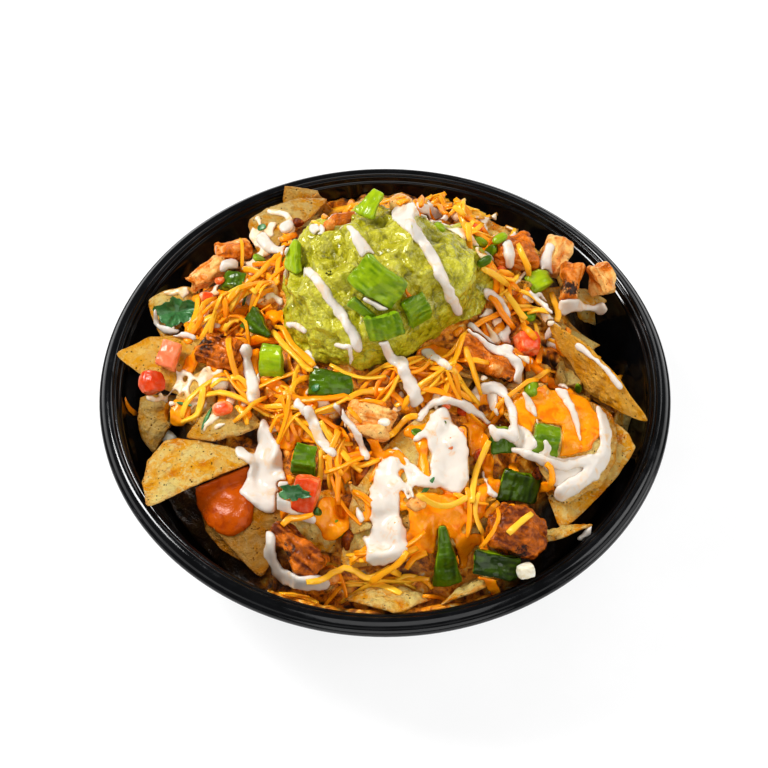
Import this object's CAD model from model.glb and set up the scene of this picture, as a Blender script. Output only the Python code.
"""Nachos heaped in a round black take-out bowl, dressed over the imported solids.

Lengths are in metres, +Z up, with the origin at the middle of the bowl's flat underside. Places
that were read off the picture are pixels of its 768 by 768 frame, and are brought down onto the
food along the picture's own lines of sight.
"""

import itertools
import logging
import math
import random
from dataclasses import dataclass, field
from enum import Enum
from typing import Any, Iterable, Sequence

import bpy
import numpy as np
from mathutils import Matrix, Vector
from mathutils.bvhtree import BVHTree


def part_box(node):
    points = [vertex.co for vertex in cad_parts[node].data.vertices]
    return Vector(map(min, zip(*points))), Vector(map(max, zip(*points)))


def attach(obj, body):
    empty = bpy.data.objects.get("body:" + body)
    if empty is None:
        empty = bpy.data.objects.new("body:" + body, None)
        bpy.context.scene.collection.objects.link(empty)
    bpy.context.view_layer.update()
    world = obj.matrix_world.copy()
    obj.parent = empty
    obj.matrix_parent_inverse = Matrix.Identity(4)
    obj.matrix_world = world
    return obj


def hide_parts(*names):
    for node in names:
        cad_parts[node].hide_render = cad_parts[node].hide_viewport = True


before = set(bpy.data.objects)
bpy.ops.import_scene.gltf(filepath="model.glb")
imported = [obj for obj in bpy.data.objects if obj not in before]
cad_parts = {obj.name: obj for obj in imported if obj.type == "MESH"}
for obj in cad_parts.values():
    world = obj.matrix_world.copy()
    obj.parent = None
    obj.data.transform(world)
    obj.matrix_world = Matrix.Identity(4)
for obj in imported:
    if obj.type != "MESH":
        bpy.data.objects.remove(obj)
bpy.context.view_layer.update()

LOG = logging.getLogger("nachos")
MM = 0.001

Pixel = tuple[float, float]
Path = tuple[Pixel, ...]
Array = np.ndarray
Mesh = tuple[Array, list[tuple[int, ...]]]
Socket = bpy.types.NodeSocket


def tint(red: float, green: float, blue: float) -> tuple[float, float, float, float]:
    """The light that makes a screen colour whose red, green and blue go from 0 to 255."""
    shares = (value / 255 for value in (red, green, blue))
    lights = (s / 12.92 if s <= 0.04045 else ((s + 0.055) / 1.055) ** 2.4 for s in shares)
    return (*lights, 1.0)


def round_turns(count: int) -> Array:
    """Even turns of a full circle, in radians."""
    return np.linspace(0, 2 * math.pi, count, endpoint=False)


def heading(turn: float, reach: float = 1.0) -> Array:
    """The x and y at a reach in the direction of a turn."""
    return reach * np.array((math.cos(turn), math.sin(turn)))


def ring(turns: Array, reach: Array | float, z: Array | float = 0.0) -> Array:
    """Points round the upright axis, as rows of x, y and z."""
    x, y = reach * np.cos(turns), reach * np.sin(turns)
    return np.stack((x, y, np.broadcast_to(z, x.shape)), axis=1)


def unit(vectors: Array) -> Array:
    """Vectors at a length of 1."""
    return vectors / np.maximum(np.linalg.norm(vectors, axis=-1, keepdims=True), 1e-12)


def own_axes(points: Array) -> tuple[Array, Array, Array]:
    """The middle of some points, the three axes that they spread along, and the last of these
    turned to face up."""
    middle = points.mean(axis=0)
    rows = np.linalg.svd(points - middle)[2]
    return middle, rows, rows[2] if rows[2][2] > 0 else -rows[2]


def hashed(key: Array) -> Array:
    """A number from 0 to 1 for each row of whole numbers, as if drawn at random."""
    mixed = key[:, 0] * 73856093 ^ key[:, 1] * 19349663 ^ key[:, 2] * 83492791
    mixed = ((mixed ^ (mixed >> 13)) * 1274126177) & 0x7FFFFFFF
    return (mixed % 65521) / 65520.0


def wander(points: Array, size: float, seed: float = 0.0) -> Array:
    """Smooth noise from -1 to 1 over points in space.

    Args:
        points: rows of x, y and z.
        size: how far apart the noise's lumps are.
        seed: a number that gives another pattern.

    Returns:
        One value a point.
    """
    scaled = np.asarray(points, float) / size + seed * 17.31 + 500.0
    cell = np.floor(scaled).astype(np.int64)
    share = scaled - cell
    ease = share**3 * (share * (share * 6 - 15) + 10)
    total = np.zeros(len(scaled))
    for corner in itertools.product((0, 1), repeat=3):
        weight = np.where(np.array(corner) == 1, ease, 1 - ease).prod(axis=1)
        total += (2 * hashed(cell + np.array(corner)) - 1) * weight
    return total


def lumps(points: Array, size: float, seed: float = 0.0) -> Array:
    """Round lumps with sharp creases between them, over points in space.

    Args:
        points: rows of x, y and z.
        size: how far apart the lumps are.
        seed: a number that gives another pattern.

    Returns:
        One value a point, from 1 on a lump's top to about -0.5 in a crease.
    """
    scaled = np.asarray(points, float) / size + seed * 11.7 + 500.0
    cell = np.floor(scaled).astype(np.int64)
    nearest = np.full(len(scaled), 9.0)
    for corner in itertools.product((-1, 0, 1), repeat=3):
        key = cell + np.array(corner)
        spot = key + np.stack([hashed(key + 31 * axis) for axis in range(3)], axis=1)
        nearest = np.minimum(nearest, ((scaled - spot) ** 2).sum(axis=1))
    return 1 - 1.6 * np.sqrt(nearest)


def eased(values: Array, low: float, high: float) -> Array:
    """The values as shares from 0 at low to 1 at high, with soft ends."""
    share = np.clip((values - low) / (high - low), 0, 1)
    return share * share * (3 - 2 * share)


def vertex_normals(points: Array, faces: Sequence[tuple[int, ...]]) -> Array:
    """The normals of a mesh at its points.

    Args:
        points: rows of x, y and z.
        faces: point indices, three or four a face.

    Returns:
        A unit vector a point.
    """
    normals = np.zeros_like(points)
    by_size: dict[int, list[tuple[int, ...]]] = {}
    for face in faces:
        by_size.setdefault(len(face), []).append(face)
    for same in by_size.values():
        corners = np.array(same)
        first = points[corners[:, 1]] - points[corners[:, 0]]
        second = points[corners[:, 2]] - points[corners[:, 0]]
        across = np.cross(first, second)
        for column in range(corners.shape[1]):
            np.add.at(normals, corners[:, column], across)
    return unit(normals)


@dataclass
class Bag:
    """Many small meshes that are gathered into one piece, with a few values at each point."""

    points: list[Array] = field(default_factory=list)
    faces: list[tuple[int, ...]] = field(default_factory=list)
    values: dict[str, list[Array]] = field(default_factory=dict)
    count: int = 0

    def add(self, points: Array, faces: Iterable[tuple[int, ...]], **values: Any) -> None:
        """Puts a mesh in the bag.

        Args:
            points: rows of x, y and z.
            faces: point indices that start at 0.
            values: named values, one a point or one for all of them.
        """
        points = np.asarray(points, float)
        self.points.append(points)
        self.faces.extend(tuple(index + self.count for index in face) for face in faces)
        for name, value in values.items():
            whole = np.broadcast_to(np.asarray(value, float), (len(points),))
            self.values.setdefault(name, []).append(whole)
        self.count += len(points)

    def piece(self, name: str, finish: "Finish") -> bpy.types.Object:
        """Makes the bag's mesh a piece of the scene.

        Args:
            name: the piece's name.
            finish: what it is dressed with.

        Returns:
            The new object, smooth shaded.
        """
        mesh = bpy.data.meshes.new(name)
        mesh.from_pydata(np.concatenate(self.points).tolist(), [], self.faces)
        for value_name, parts in self.values.items():
            layer = mesh.attributes.new(value_name, "FLOAT", "POINT")
            layer.data.foreach_set("value", np.concatenate(parts).astype(np.float32))
        mesh.validate()
        mesh.shade_smooth()
        made = bpy.data.objects.new(name, mesh)
        bpy.context.scene.collection.objects.link(made)
        mesh.materials.append(finish.material())
        return made


def placed(made: bpy.types.Object, nodes: Sequence[str] = ()) -> bpy.types.Object:
    """Lets a piece ride on the object and the nodes that it stands for.

    Args:
        made: the piece.
        nodes: the nodes that it replaces.

    Returns:
        The piece.
    """
    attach(made, "root")
    if nodes:
        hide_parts(*nodes)
    LOG.info("%s: %d faces", made.name, len(made.data.polygons))
    return made


class Facing(Enum):
    """Which side of the bowl a view looks at."""

    FRONT = 1
    BACK = -1


@dataclass(frozen=True)
class PictureView:
    """The place and the lens that the bowl is looked at with."""

    target: tuple[float, float, float] = (0.0, -3.3 * MM, 65 * MM)
    slope: float = math.radians(54.4)
    distance: float = 850 * MM
    focal: float = 2031.0
    middle: Pixel = (385.0, 384.0)
    side: int = 768
    sensor: float = 36.0
    facing: Facing = Facing.FRONT

    def axes(self) -> tuple[Array, Array, Array]:
        """The directions to the right, up and away in the picture."""
        across, rise = math.cos(self.slope), math.sin(self.slope)
        way = self.facing.value
        right = np.array((way, 0.0, 0))
        return right, np.array((0, rise * way, across)), np.array((0, across * way, -rise))

    def eye(self) -> Array:
        """The place that the picture is seen from."""
        return np.array(self.target) - self.axes()[2] * self.distance

    def rays(self, pixels: Sequence[Pixel] | Array) -> Array:
        """The unit directions that the pixels look in."""
        right, up, away = self.axes()
        spots = np.asarray(pixels, float).reshape(-1, 2) - np.array(self.middle)
        made = away * self.focal + spots[:, :1] * right - spots[:, 1:] * up
        return unit(made)

    def pixels(self, points: Array) -> Array:
        """Where points in space are seen in the picture."""
        right, up, away = self.axes()
        offset = points - self.eye()
        depth = offset @ away
        across = self.middle[0] + self.focal * (offset @ right) / depth
        down = self.middle[1] - self.focal * (offset @ up) / depth
        return np.stack((across, down), axis=1)

    def pixels_from(self, points: Array, pixel: Pixel) -> Array:
        """How many pixels away from one of them points in space are seen."""
        return np.linalg.norm(self.pixels(points) - np.array(pixel), axis=1)

    def add_camera(self) -> None:
        """Puts the scene's camera at the picture's place."""
        data = bpy.data.cameras.new("camera")
        data.sensor_width = self.sensor
        data.lens = self.focal * self.sensor / self.side
        data.shift_x = (self.side / 2 - self.middle[0]) / self.side
        camera = bpy.data.objects.new("camera", data)
        camera.location = self.eye()
        camera.rotation_euler = (math.pi / 2 - self.slope, 0, 0)
        bpy.context.scene.collection.objects.link(camera)
        bpy.context.scene.camera = camera


@dataclass
class Relief:
    """The food's top, as heights over a square grid, that later pieces are laid on."""

    view: PictureView
    half: float = 122 * MM
    cell: float = 0.5 * MM
    heights: Array = field(init=False)
    bowl: Array = field(init=False)
    wall: "Bowl | None" = None

    def __post_init__(self) -> None:
        """Starts with nothing but the level that the bowl stands on."""
        count = int(round(2 * self.half / self.cell)) + 1
        self.heights = np.zeros((count, count))
        self.bowl = self.heights

    def start_in(self, bowl: "Bowl") -> None:
        """Sets the heights to the bowl's inside."""
        x, y = self.places()
        self.wall = bowl
        self.bowl = bowl.inside_at(np.hypot(x, y))
        self.heights = self.bowl.copy()

    def places(self) -> tuple[Array, Array]:
        """The x and y of every grid point."""
        line = np.linspace(-self.half, self.half, self.heights.shape[0])
        return np.meshgrid(line, line)

    def cover(self, points: Array, faces: Sequence[tuple[int, ...]]) -> None:
        """Raises the grid to a mesh's top where the mesh is higher.

        Args:
            points: the mesh's points.
            faces: its faces.
        """
        tree = BVHTree.FromPolygons(points.tolist(), faces)
        low, high = points.min(axis=0), points.max(axis=0)
        first = np.maximum(0, ((low[:2] + self.half) / self.cell).astype(int))
        last = np.minimum(len(self.heights) - 1, ((high[:2] + self.half) / self.cell).astype(int) + 1)
        down = Vector((0, 0, -1))
        top = float(high[2]) + 0.01
        for row in range(first[1], last[1] + 1):
            y = row * self.cell - self.half
            for column in range(first[0], last[0] + 1):
                hit = tree.ray_cast(Vector((column * self.cell - self.half, y, top)), down)[0]
                if hit is not None and hit.z > self.heights[row, column]:
                    self.heights[row, column] = hit.z

    def at(self, x: Array, y: Array, heights: Array | None = None) -> Array:
        """The heights, or other values of the grid, at places between its points."""
        grid = self.heights if heights is None else heights
        last = grid.shape[0] - 1.001
        column = np.clip((np.asarray(x) + self.half) / self.cell, 0, last)
        row = np.clip((np.asarray(y) + self.half) / self.cell, 0, last)
        i, j = row.astype(int), column.astype(int)
        u, v = row - i, column - j
        near = grid[i, j] * (1 - v) + grid[i, j + 1] * v
        far = grid[i + 1, j] * (1 - v) + grid[i + 1, j + 1] * v
        return near * (1 - u) + far * u

    def on_food(self, spots: Array, least: float = 1.0 * MM) -> Array:
        """Which places lie on food, and not on the bare bowl."""
        x, y = spots[:, 0], spots[:, 1]
        return self.at(x, y) - self.at(x, y, self.bowl) > least

    def within(self, points: Array, clear: float = 0.3 * MM) -> Array:
        """The points, with those that would go through the bowl's wall drawn inwards."""
        above = points[:, 2] > self.wall.height - 4 * MM
        return np.where(above[:, None], points, self.wall.kept_in(points, clear))

    def normal(self, x: float, y: float, reach: float = 2 * MM) -> Array:
        """The way the surface faces, felt for over a reach."""
        right, left, far, near = self.at(
            np.array((x + reach, x - reach, x, x)), np.array((y, y, y + reach, y - reach))
        )
        return unit(np.array((left - right, near - far, 2 * reach)))

    def seen(self, pixels: Sequence[Pixel] | Array) -> Array:
        """The places that the pixels' lines of sight meet.

        Args:
            pixels: the pixels.

        Returns:
            Rows of x, y and z.
        """
        rays = self.view.rays(pixels)
        eye = self.view.eye()
        top, step = 130 * MM, 0.3 * MM
        spots = eye + rays * ((top - eye[2]) / rays[:, 2])[:, None]
        moves = rays * (step / -rays[:, 2])[:, None]
        going = np.ones(len(spots), bool)
        for _ in range(int(top / step)):
            going &= spots[:, 2] > self.at(spots[:, 0], spots[:, 1])
            if not going.any():
                break
            spots[going] += moves[going]
        return spots

    def hidden(self, spots: Array, view: PictureView | None = None) -> Array:
        """Which places the food hides from a view's eye, or from the picture's."""
        ways = unit((view or self.view).eye() - spots)
        marks = np.arange(3.0, 120.0, 1.5)[:, None] * MM
        path = spots[:, None] + ways[:, None] * marks
        return (self.at(path[..., 0], path[..., 1]) > path[..., 2] + 1 * MM).any(axis=1)

    def stamp(self, spots: Array, radius: float, lift: float) -> None:
        """Raises the grid round spots, for what is laid down later to rest on.

        Args:
            spots: rows of x, y and z.
            radius: how far round each spot.
            lift: how far above the spot's own height.
        """
        wide = int(math.ceil(radius / self.cell))
        last = self.heights.shape[0] - 1
        columns = np.rint((spots[:, 0] + self.half) / self.cell).astype(int)
        rows = np.rint((spots[:, 1] + self.half) / self.cell).astype(int)
        for i in range(-wide, wide + 1):
            for j in range(-wide, wide + 1):
                off = math.hypot(i, j) * self.cell / radius
                if off > 1:
                    continue
                height = spots[:, 2] + lift * math.sqrt(1 - off * off)
                row, column = np.clip(rows + i, 0, last), np.clip(columns + j, 0, last)
                np.maximum.at(self.heights, (row, column), height)


def blur(grid: Array, reach: float) -> Array:
    """A grid smoothed by a bell curve.

    Args:
        grid: the values.
        reach: the curve's spread in cells.

    Returns:
        The smoothed grid.
    """
    wide = int(math.ceil(reach * 2.5))
    steps = np.arange(-wide, wide + 1)
    weights = np.exp(-0.5 * (steps / reach) ** 2)
    weights /= weights.sum()
    for axis in (0, 1):
        padded = np.pad(grid, [(wide, wide) if a == axis else (0, 0) for a in (0, 1)], mode="edge")
        total = np.zeros_like(grid)
        for index, weight in enumerate(weights):
            total += padded.take(range(index, index + grid.shape[axis]), axis=axis) * weight
        grid = total
    return grid


def lowest_near(grid: Array, wide: int) -> Array:
    """Each cell's lowest neighbour within a square."""
    for axis in (0, 1):
        rows = [np.roll(grid, shift, axis=axis) for shift in range(-wide, wide + 1)]
        grid = np.minimum.reduce(rows)
    return grid


def welded(node: str) -> Mesh:
    """A node's mesh with the points that lie at one place joined.

    Args:
        node: the node's name.

    Returns:
        Its points and triangles.
    """
    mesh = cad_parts[node].data
    raw = np.empty(len(mesh.vertices) * 3)
    mesh.vertices.foreach_get("co", raw)
    rounded = np.round(raw.reshape(-1, 3), 6)
    points, index = np.unique(rounded, axis=0, return_inverse=True)
    index = index.reshape(-1)
    faces = [tuple(int(index[v]) for v in face.vertices) for face in mesh.polygons]
    return points, [face for face in faces if len(set(face)) == len(face)]


def remeshed(source: Mesh, voxel: float, rounds: int) -> Mesh:
    """A mesh made again of even small squares, and smoothed.

    Args:
        source: points and faces of a closed mesh.
        voxel: the squares' size.
        rounds: how often it is smoothed.

    Returns:
        The new points and faces.
    """
    mesh = bpy.data.meshes.new("rough")
    mesh.from_pydata(source[0].tolist(), [], source[1])
    rough = bpy.data.objects.new("rough", mesh)
    bpy.context.scene.collection.objects.link(rough)
    remesh = rough.modifiers.new("remesh", "REMESH")
    remesh.mode = "VOXEL"
    remesh.voxel_size = voxel
    if rounds:
        smooth = rough.modifiers.new("smooth", "SMOOTH")
        smooth.factor = 0.5
        smooth.iterations = rounds
    graph = bpy.context.evaluated_depsgraph_get()
    made = bpy.data.meshes.new_from_object(rough.evaluated_get(graph))
    raw = np.empty(len(made.vertices) * 3)
    made.vertices.foreach_get("co", raw)
    faces = [tuple(face.vertices) for face in made.polygons]
    bpy.data.objects.remove(rough)
    bpy.data.meshes.remove(mesh)
    bpy.data.meshes.remove(made)
    return raw.reshape(-1, 3), faces


class Board:
    """A material's nodes, laid out by short calls."""

    def __init__(self, name: str) -> None:
        """Starts a material with nothing but its output."""
        self.made = bpy.data.materials.new(name)
        self.made.use_nodes = True
        self.tree = self.made.node_tree
        self.tree.nodes.clear()
        self.output = self.tree.nodes.new("ShaderNodeOutputMaterial")
        self.spot = self.tree.nodes.new("ShaderNodeTexCoord").outputs["Object"]

    def node(self, kind: str, inputs: dict[str | int, Any], **settings: Any) -> bpy.types.Node:
        """Adds a node.

        Args:
            kind: its type.
            inputs: sockets by name or number, each a value or another node's output.
            settings: the node's own settings.

        Returns:
            The node.
        """
        made = self.tree.nodes.new(kind)
        for name, value in settings.items():
            setattr(made, name, value)
        for name, value in inputs.items():
            if isinstance(value, Socket):
                self.tree.links.new(value, made.inputs[name])
            else:
                made.inputs[name].default_value = value
        return made

    def stretched(self, scale: tuple[float, float, float], turn: float = 0.0) -> Socket:
        """The coordinates scaled along each axis and turned about the upright."""
        inputs = {"Vector": self.spot, "Scale": scale, "Rotation": (0, 0, turn)}
        return self.node("ShaderNodeMapping", inputs).outputs[0]

    def noise(
        self, size: float, detail: float = 3, roughness: float = 0.55, bend: float = 0.0,
        spot: Socket | None = None,
    ) -> Socket:
        """Cloudy noise whose lumps have a size in metres."""
        inputs = {
            "Vector": spot or self.spot, "Scale": 1 / size, "Detail": detail,
            "Roughness": roughness, "Distortion": bend,
        }
        return self.node("ShaderNodeTexNoise", inputs).outputs["Fac"]

    def cells(self, size: float) -> Socket:
        """The distance to the nearest of scattered spots that are a size apart."""
        return self.node("ShaderNodeTexVoronoi", {"Vector": self.spot, "Scale": 1 / size}).outputs["Distance"]

    def value(self, name: str) -> Socket:
        """A value that the mesh holds at its points."""
        return self.node("ShaderNodeAttribute", {}, attribute_name=name).outputs["Fac"]

    def ramp(self, share: Socket, *stops: tuple[float, tuple]) -> Socket:
        """Colours along a share from 0 to 1."""
        made = self.node("ShaderNodeValToRGB", {"Fac": share})
        elements = made.color_ramp.elements
        while len(elements) < len(stops):
            elements.new(1.0)
        for element, (place, color) in zip(elements, stops):
            element.position = place
            element.color = color
        return made.outputs["Color"]

    def fade(self, share: Socket, low: float, high: float, to: float = 1.0) -> Socket:
        """A share that goes from 0 at low to a value at high."""
        inputs = {"Value": share, 1: low, 2: high, 3: 0.0, 4: to}
        return self.node("ShaderNodeMapRange", inputs, interpolation_type="SMOOTHSTEP").outputs[0]

    def mix(self, share: Any, first: Any, second: Any) -> Socket:
        """Two colours mixed by a share."""
        return self.node("ShaderNodeMix", {0: share, 6: first, 7: second}, data_type="RGBA").outputs[2]

    def sum(self, *parts: tuple[Socket, float]) -> Socket:
        """Values added up, each times its own weight."""
        total: Any = 0.0
        for part, weight in parts:
            made = self.node("ShaderNodeMath", {0: part, 1: weight, 2: total}, operation="MULTIPLY_ADD")
            total = made.outputs[0]
        return total

    def times(self, first: Socket, second: Any) -> Socket:
        """Two values multiplied."""
        return self.node("ShaderNodeMath", {0: first, 1: second}, operation="MULTIPLY").outputs[0]

    def bump(self, height: Socket, depth: float) -> Socket:
        """The normal of a surface whose height goes up to a depth in metres."""
        inputs = {"Height": height, "Distance": depth, "Strength": 1.0}
        return self.node("ShaderNodeBump", inputs).outputs[0]

    def finish(self, **inputs: Any) -> bpy.types.Material:
        """Ends the material in a shader.

        Args:
            inputs: the shader's sockets, with underscores for spaces.

        Returns:
            The material.
        """
        named = {name.replace("_", " "): value for name, value in inputs.items()}
        shader = self.node("ShaderNodeBsdfPrincipled", named)
        self.tree.links.new(shader.outputs[0], self.output.inputs[0])
        return self.made


@dataclass(frozen=True)
class Finish:
    """What a surface looks like. Each kind lays out its own nodes."""

    name: str

    def nodes(self, board: Board) -> bpy.types.Material:
        """Lays out the material's nodes."""
        raise NotImplementedError

    def material(self) -> bpy.types.Material:
        """The material, made once for each name."""
        return bpy.data.materials.get(self.name) or self.nodes(Board(self.name))


@dataclass(frozen=True)
class MouldedPlastic(Finish):
    """Glossy black plastic, faintly wavy and rubbed."""

    def nodes(self, board: Board) -> bpy.types.Material:
        """Lays out the material's nodes."""
        rub = board.noise(9 * MM, 4, 0.6)
        color = board.ramp(rub, (0.3, tint(9, 10, 12)), (0.75, tint(15, 16, 19)))
        height = board.sum((board.noise(26 * MM, 1), 1.0), (board.noise(0.5 * MM, 2), 0.05))
        return board.finish(
            Base_Color=color, Roughness=board.fade(rub, 0.0, 1.4, 0.5),
            Normal=board.bump(height, 0.12 * MM), Specular_IOR_Level=0.45,
        )


@dataclass(frozen=True)
class Tortilla(Finish):
    """Fried corn tortilla: golden, blistered, specked, and browner along the edge."""

    pale: tuple = tint(255, 228, 142)
    golden: tuple = tint(254, 180, 34)
    toasted: tuple = tint(224, 120, 4)
    shade: tuple = tint(150, 86, 4)
    warm: tuple = tint(255, 182, 24)
    speck: tuple = tint(92, 40, 6)

    def nodes(self, board: Board) -> bpy.types.Material:
        """Lays out the material's nodes."""
        patches = board.noise(13 * MM, 4, 0.62, 0.5)
        color = board.ramp(patches, (0.3, self.toasted), (0.44, self.golden), (0.64, self.pale))
        color = board.mix(board.fade(board.value("blister"), 0.1, 0.9, 0.7), color, self.pale)
        browned = board.sum((board.value("edge"), 1.0), (board.noise(6 * MM, 3), 0.35))
        color = board.mix(board.fade(browned, 1.0, 1.28, 0.55), color, self.toasted)
        scales = board.fade(board.noise(4.5 * MM, 4, 0.7, 1.2), 0.5, 0.62, 0.7)
        color = board.mix(scales, color, tint(255, 230, 158))
        flakes = board.fade(board.noise(1.3 * MM, 4, 0.75), 0.54, 0.68, 0.5)
        color = board.mix(flakes, color, self.toasted)
        grits = board.fade(board.noise(0.9 * MM, 3, 0.7), 0.6, 0.72, 0.45)
        color = board.mix(grits, color, tint(255, 236, 176))
        dots = board.times(
            board.fade(board.cells(1.8 * MM), 0.26, 0.12), board.fade(board.noise(5 * MM, 3), 0.46, 0.58, 0.9)
        )
        color = board.mix(board.fade(board.value("tone"), 0.6, 0.0, 0.8), color, self.shade)
        color = board.mix(board.fade(board.value("tone"), 0.6, 1.0, 0.6), color, self.warm)
        color = board.mix(dots, color, self.speck)
        height = board.sum(
            (board.noise(2.6 * MM, 4, 0.65), 1.2), (board.noise(1.1 * MM, 4, 0.75), 1.1), (dots, -0.35)
        )
        return board.finish(
            Base_Color=color, Roughness=board.fade(patches, -0.4, 1.5, 0.5),
            Normal=board.bump(height, 1.9 * MM), Specular_IOR_Level=0.26,
        )


@dataclass(frozen=True)
class Cheese(Finish):
    """Shredded cheddar, each shred of its own tone."""

    light: tuple = tint(255, 200, 62)
    middle: tuple = tint(255, 174, 30)
    deep: tuple = tint(252, 146, 10)

    def nodes(self, board: Board) -> bpy.types.Material:
        """Lays out the material's nodes."""
        tone = board.sum((board.value("tone"), 0.75), (board.noise(4 * MM, 2), 0.3))
        color = board.ramp(tone, (0.12, self.deep), (0.5, self.middle), (0.88, self.light))
        height = board.sum((board.noise(1.3 * MM, 3), 1.0), (board.noise(0.4 * MM, 2), 0.3))
        return board.finish(
            Base_Color=color, Roughness=0.2, Normal=board.bump(height, 0.2 * MM),
            Subsurface_Weight=0.2, Subsurface_Radius=(1.4, 0.8, 0.15), Subsurface_Scale=0.9 * MM,
            Specular_IOR_Level=0.4,
        )


@dataclass(frozen=True)
class Liquid(Finish):
    """A poured sauce: smooth and wet, with streaks of a second colour."""

    color: tuple
    streak: tuple
    streaks: tuple[float, float] = (0.5, 0.8)
    grain: float = 0.12 * MM
    roughness: float = 0.22
    soft: tuple[float, float, float] = (1.6, 1.3, 1.0)
    soft_weight: float = 0.3
    shine: float = 0.38

    def nodes(self, board: Board) -> bpy.types.Material:
        """Lays out the material's nodes."""
        run = board.noise(5 * MM, 3, 0.55, 0.8)
        low, high = self.streaks
        color = board.mix(board.fade(run, low, high), self.color, self.streak)
        color = board.mix(board.fade(board.value("thin"), 0.3, 1.0, 0.55), color, self.streak)
        height = board.sum((board.noise(3 * MM, 2), 1.0), (board.noise(0.7 * MM, 2), 0.25))
        return board.finish(
            Base_Color=color, Roughness=self.roughness, Normal=board.bump(height, self.grain),
            Subsurface_Weight=self.soft_weight, Subsurface_Radius=self.soft, Subsurface_Scale=1.5 * MM,
            Specular_IOR_Level=self.shine,
        )


@dataclass(frozen=True)
class Avocado(Finish):
    """Mashed avocado: yellow green lumps in a greener mash, wet on top."""

    light: tuple = tint(208, 202, 62)
    middle: tuple = tint(176, 168, 14)
    deep: tuple = tint(118, 114, 0)

    def nodes(self, board: Board) -> bpy.types.Material:
        """Lays out the material's nodes."""
        mash = board.noise(3.6 * MM, 4, 0.6, 0.6)
        color = board.ramp(mash, (0.32, self.deep), (0.48, self.middle), (0.68, self.light))
        color = board.mix(board.fade(board.value("crest"), 0.1, 0.75, 0.6), color, self.light)
        color = board.mix(board.fade(board.value("crest"), 0.0, -0.6, 0.8), color, self.deep)
        specks = board.times(
            board.fade(board.cells(2.8 * MM), 0.13, 0.07), board.fade(board.noise(9 * MM, 1), 0.5, 0.6, 0.6)
        )
        color = board.mix(specks, color, tint(84, 104, 14))
        height = board.sum((board.noise(1.8 * MM, 3, 0.6), 1.0), (board.cells(1.3 * MM), -0.5))
        return board.finish(
            Base_Color=color, Roughness=0.3, Normal=board.bump(height, 0.8 * MM),
            Coat_Weight=0.6, Coat_Roughness=0.05, Specular_IOR_Level=0.4,
        )


@dataclass(frozen=True)
class PepperFlesh(Finish):
    """Green pepper: dark shining skin, and paler ribbed flesh where it is cut."""

    shade: tuple = tint(34, 52, 0)
    skin: tuple = tint(90, 124, 0)
    skin_light: tuple = tint(168, 192, 22)
    flesh: tuple = tint(134, 168, 24)

    def nodes(self, board: Board) -> bpy.types.Material:
        """Lays out the material's nodes."""
        cloud = board.noise(5 * MM, 3, 0.6)
        tone = board.sum(
            (board.value("tone"), 0.8), (cloud, 0.35), (board.value("rib"), 0.06),
            (board.value("streak"), 0.12),
        )
        skin = board.ramp(tone, (0.15, self.shade), (0.55, self.skin), (0.95, self.skin_light))
        flesh = board.mix(board.fade(board.value("streak"), -0.4, 0.5), skin, self.flesh)
        color = board.mix(board.fade(board.value("skin"), 0.0, 0.8), flesh, skin)
        height = board.sum((board.noise(0.9 * MM, 2), 0.5), (board.noise(2.2 * MM, 2), 0.8))
        return board.finish(
            Base_Color=color, Roughness=0.3, Normal=board.bump(height, 0.35 * MM),
            Coat_Weight=0.4, Coat_Roughness=0.06, Specular_IOR_Level=0.2,
        )


@dataclass(frozen=True)
class TomatoFlesh(Finish):
    """Diced tomato: red skin and wetter, paler flesh."""

    def nodes(self, board: Board) -> bpy.types.Material:
        """Lays out the material's nodes."""
        cloud = board.noise(3.5 * MM, 3, 0.6)
        flesh = board.ramp(
            cloud, (0.3, tint(232, 78, 14)), (0.5, tint(246, 128, 64)), (0.7, tint(252, 190, 150))
        )
        color = board.mix(board.fade(board.value("skin"), 0.4, 0.9, 0.6), flesh, tint(232, 62, 8))
        color = board.mix(board.fade(board.value("tone"), 0.5, 0.0, 0.75), color, tint(190, 50, 0))
        color = board.mix(board.fade(board.value("tone"), 0.6, 1.0, 0.45), color, tint(254, 186, 138))
        height = board.sum((cloud, 1.0), (board.noise(0.8 * MM, 2), 0.35))
        return board.finish(
            Base_Color=color, Roughness=0.18, Normal=board.bump(height, 0.4 * MM),
            Subsurface_Weight=0.3, Subsurface_Radius=(2.4, 0.7, 0.4), Subsurface_Scale=1.4 * MM,
            Coat_Weight=0.3, Coat_Roughness=0.06, Specular_IOR_Level=0.25,
        )


@dataclass(frozen=True)
class ChickenMeat(Finish):
    """Grilled chicken: stringy, orange brown with spice, and charred at its edges."""

    pale: tuple = tint(252, 206, 128)
    brown: tuple = tint(222, 120, 14)
    dark: tuple = tint(110, 46, 6)
    char: tuple = tint(22, 6, 2)

    def nodes(self, board: Board) -> bpy.types.Material:
        """Lays out the material's nodes."""
        cloud = board.noise(5 * MM, 4, 0.65, 0.5)
        tone = board.sum(
            (cloud, 0.7), (board.value("tone"), 0.5), (board.value("rib"), 0.07),
            (board.value("streak"), 0.06),
        )
        color = board.ramp(tone, (0.4, self.dark), (0.62, self.brown), (0.86, self.pale))
        flecks = board.fade(board.noise(1.5 * MM, 3, 0.7), 0.6, 0.7, 0.7)
        color = board.mix(flecks, color, self.dark)
        burnt = board.sum((board.value("char"), 1.0), (board.noise(2.5 * MM, 4, 0.75), 2.2))
        color = board.mix(board.fade(burnt, 1.5, 1.85, 0.95), color, self.char)
        height = board.sum((board.noise(0.9 * MM, 3, 0.6), 0.6), (board.noise(2.4 * MM, 4, 0.65), 1.0))
        return board.finish(
            Base_Color=color, Roughness=board.fade(cloud, 0.0, 1.2, 0.45),
            Normal=board.bump(height, 0.7 * MM), Coat_Weight=0.2, Coat_Roughness=0.1, Specular_IOR_Level=0.2,
        )


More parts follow.
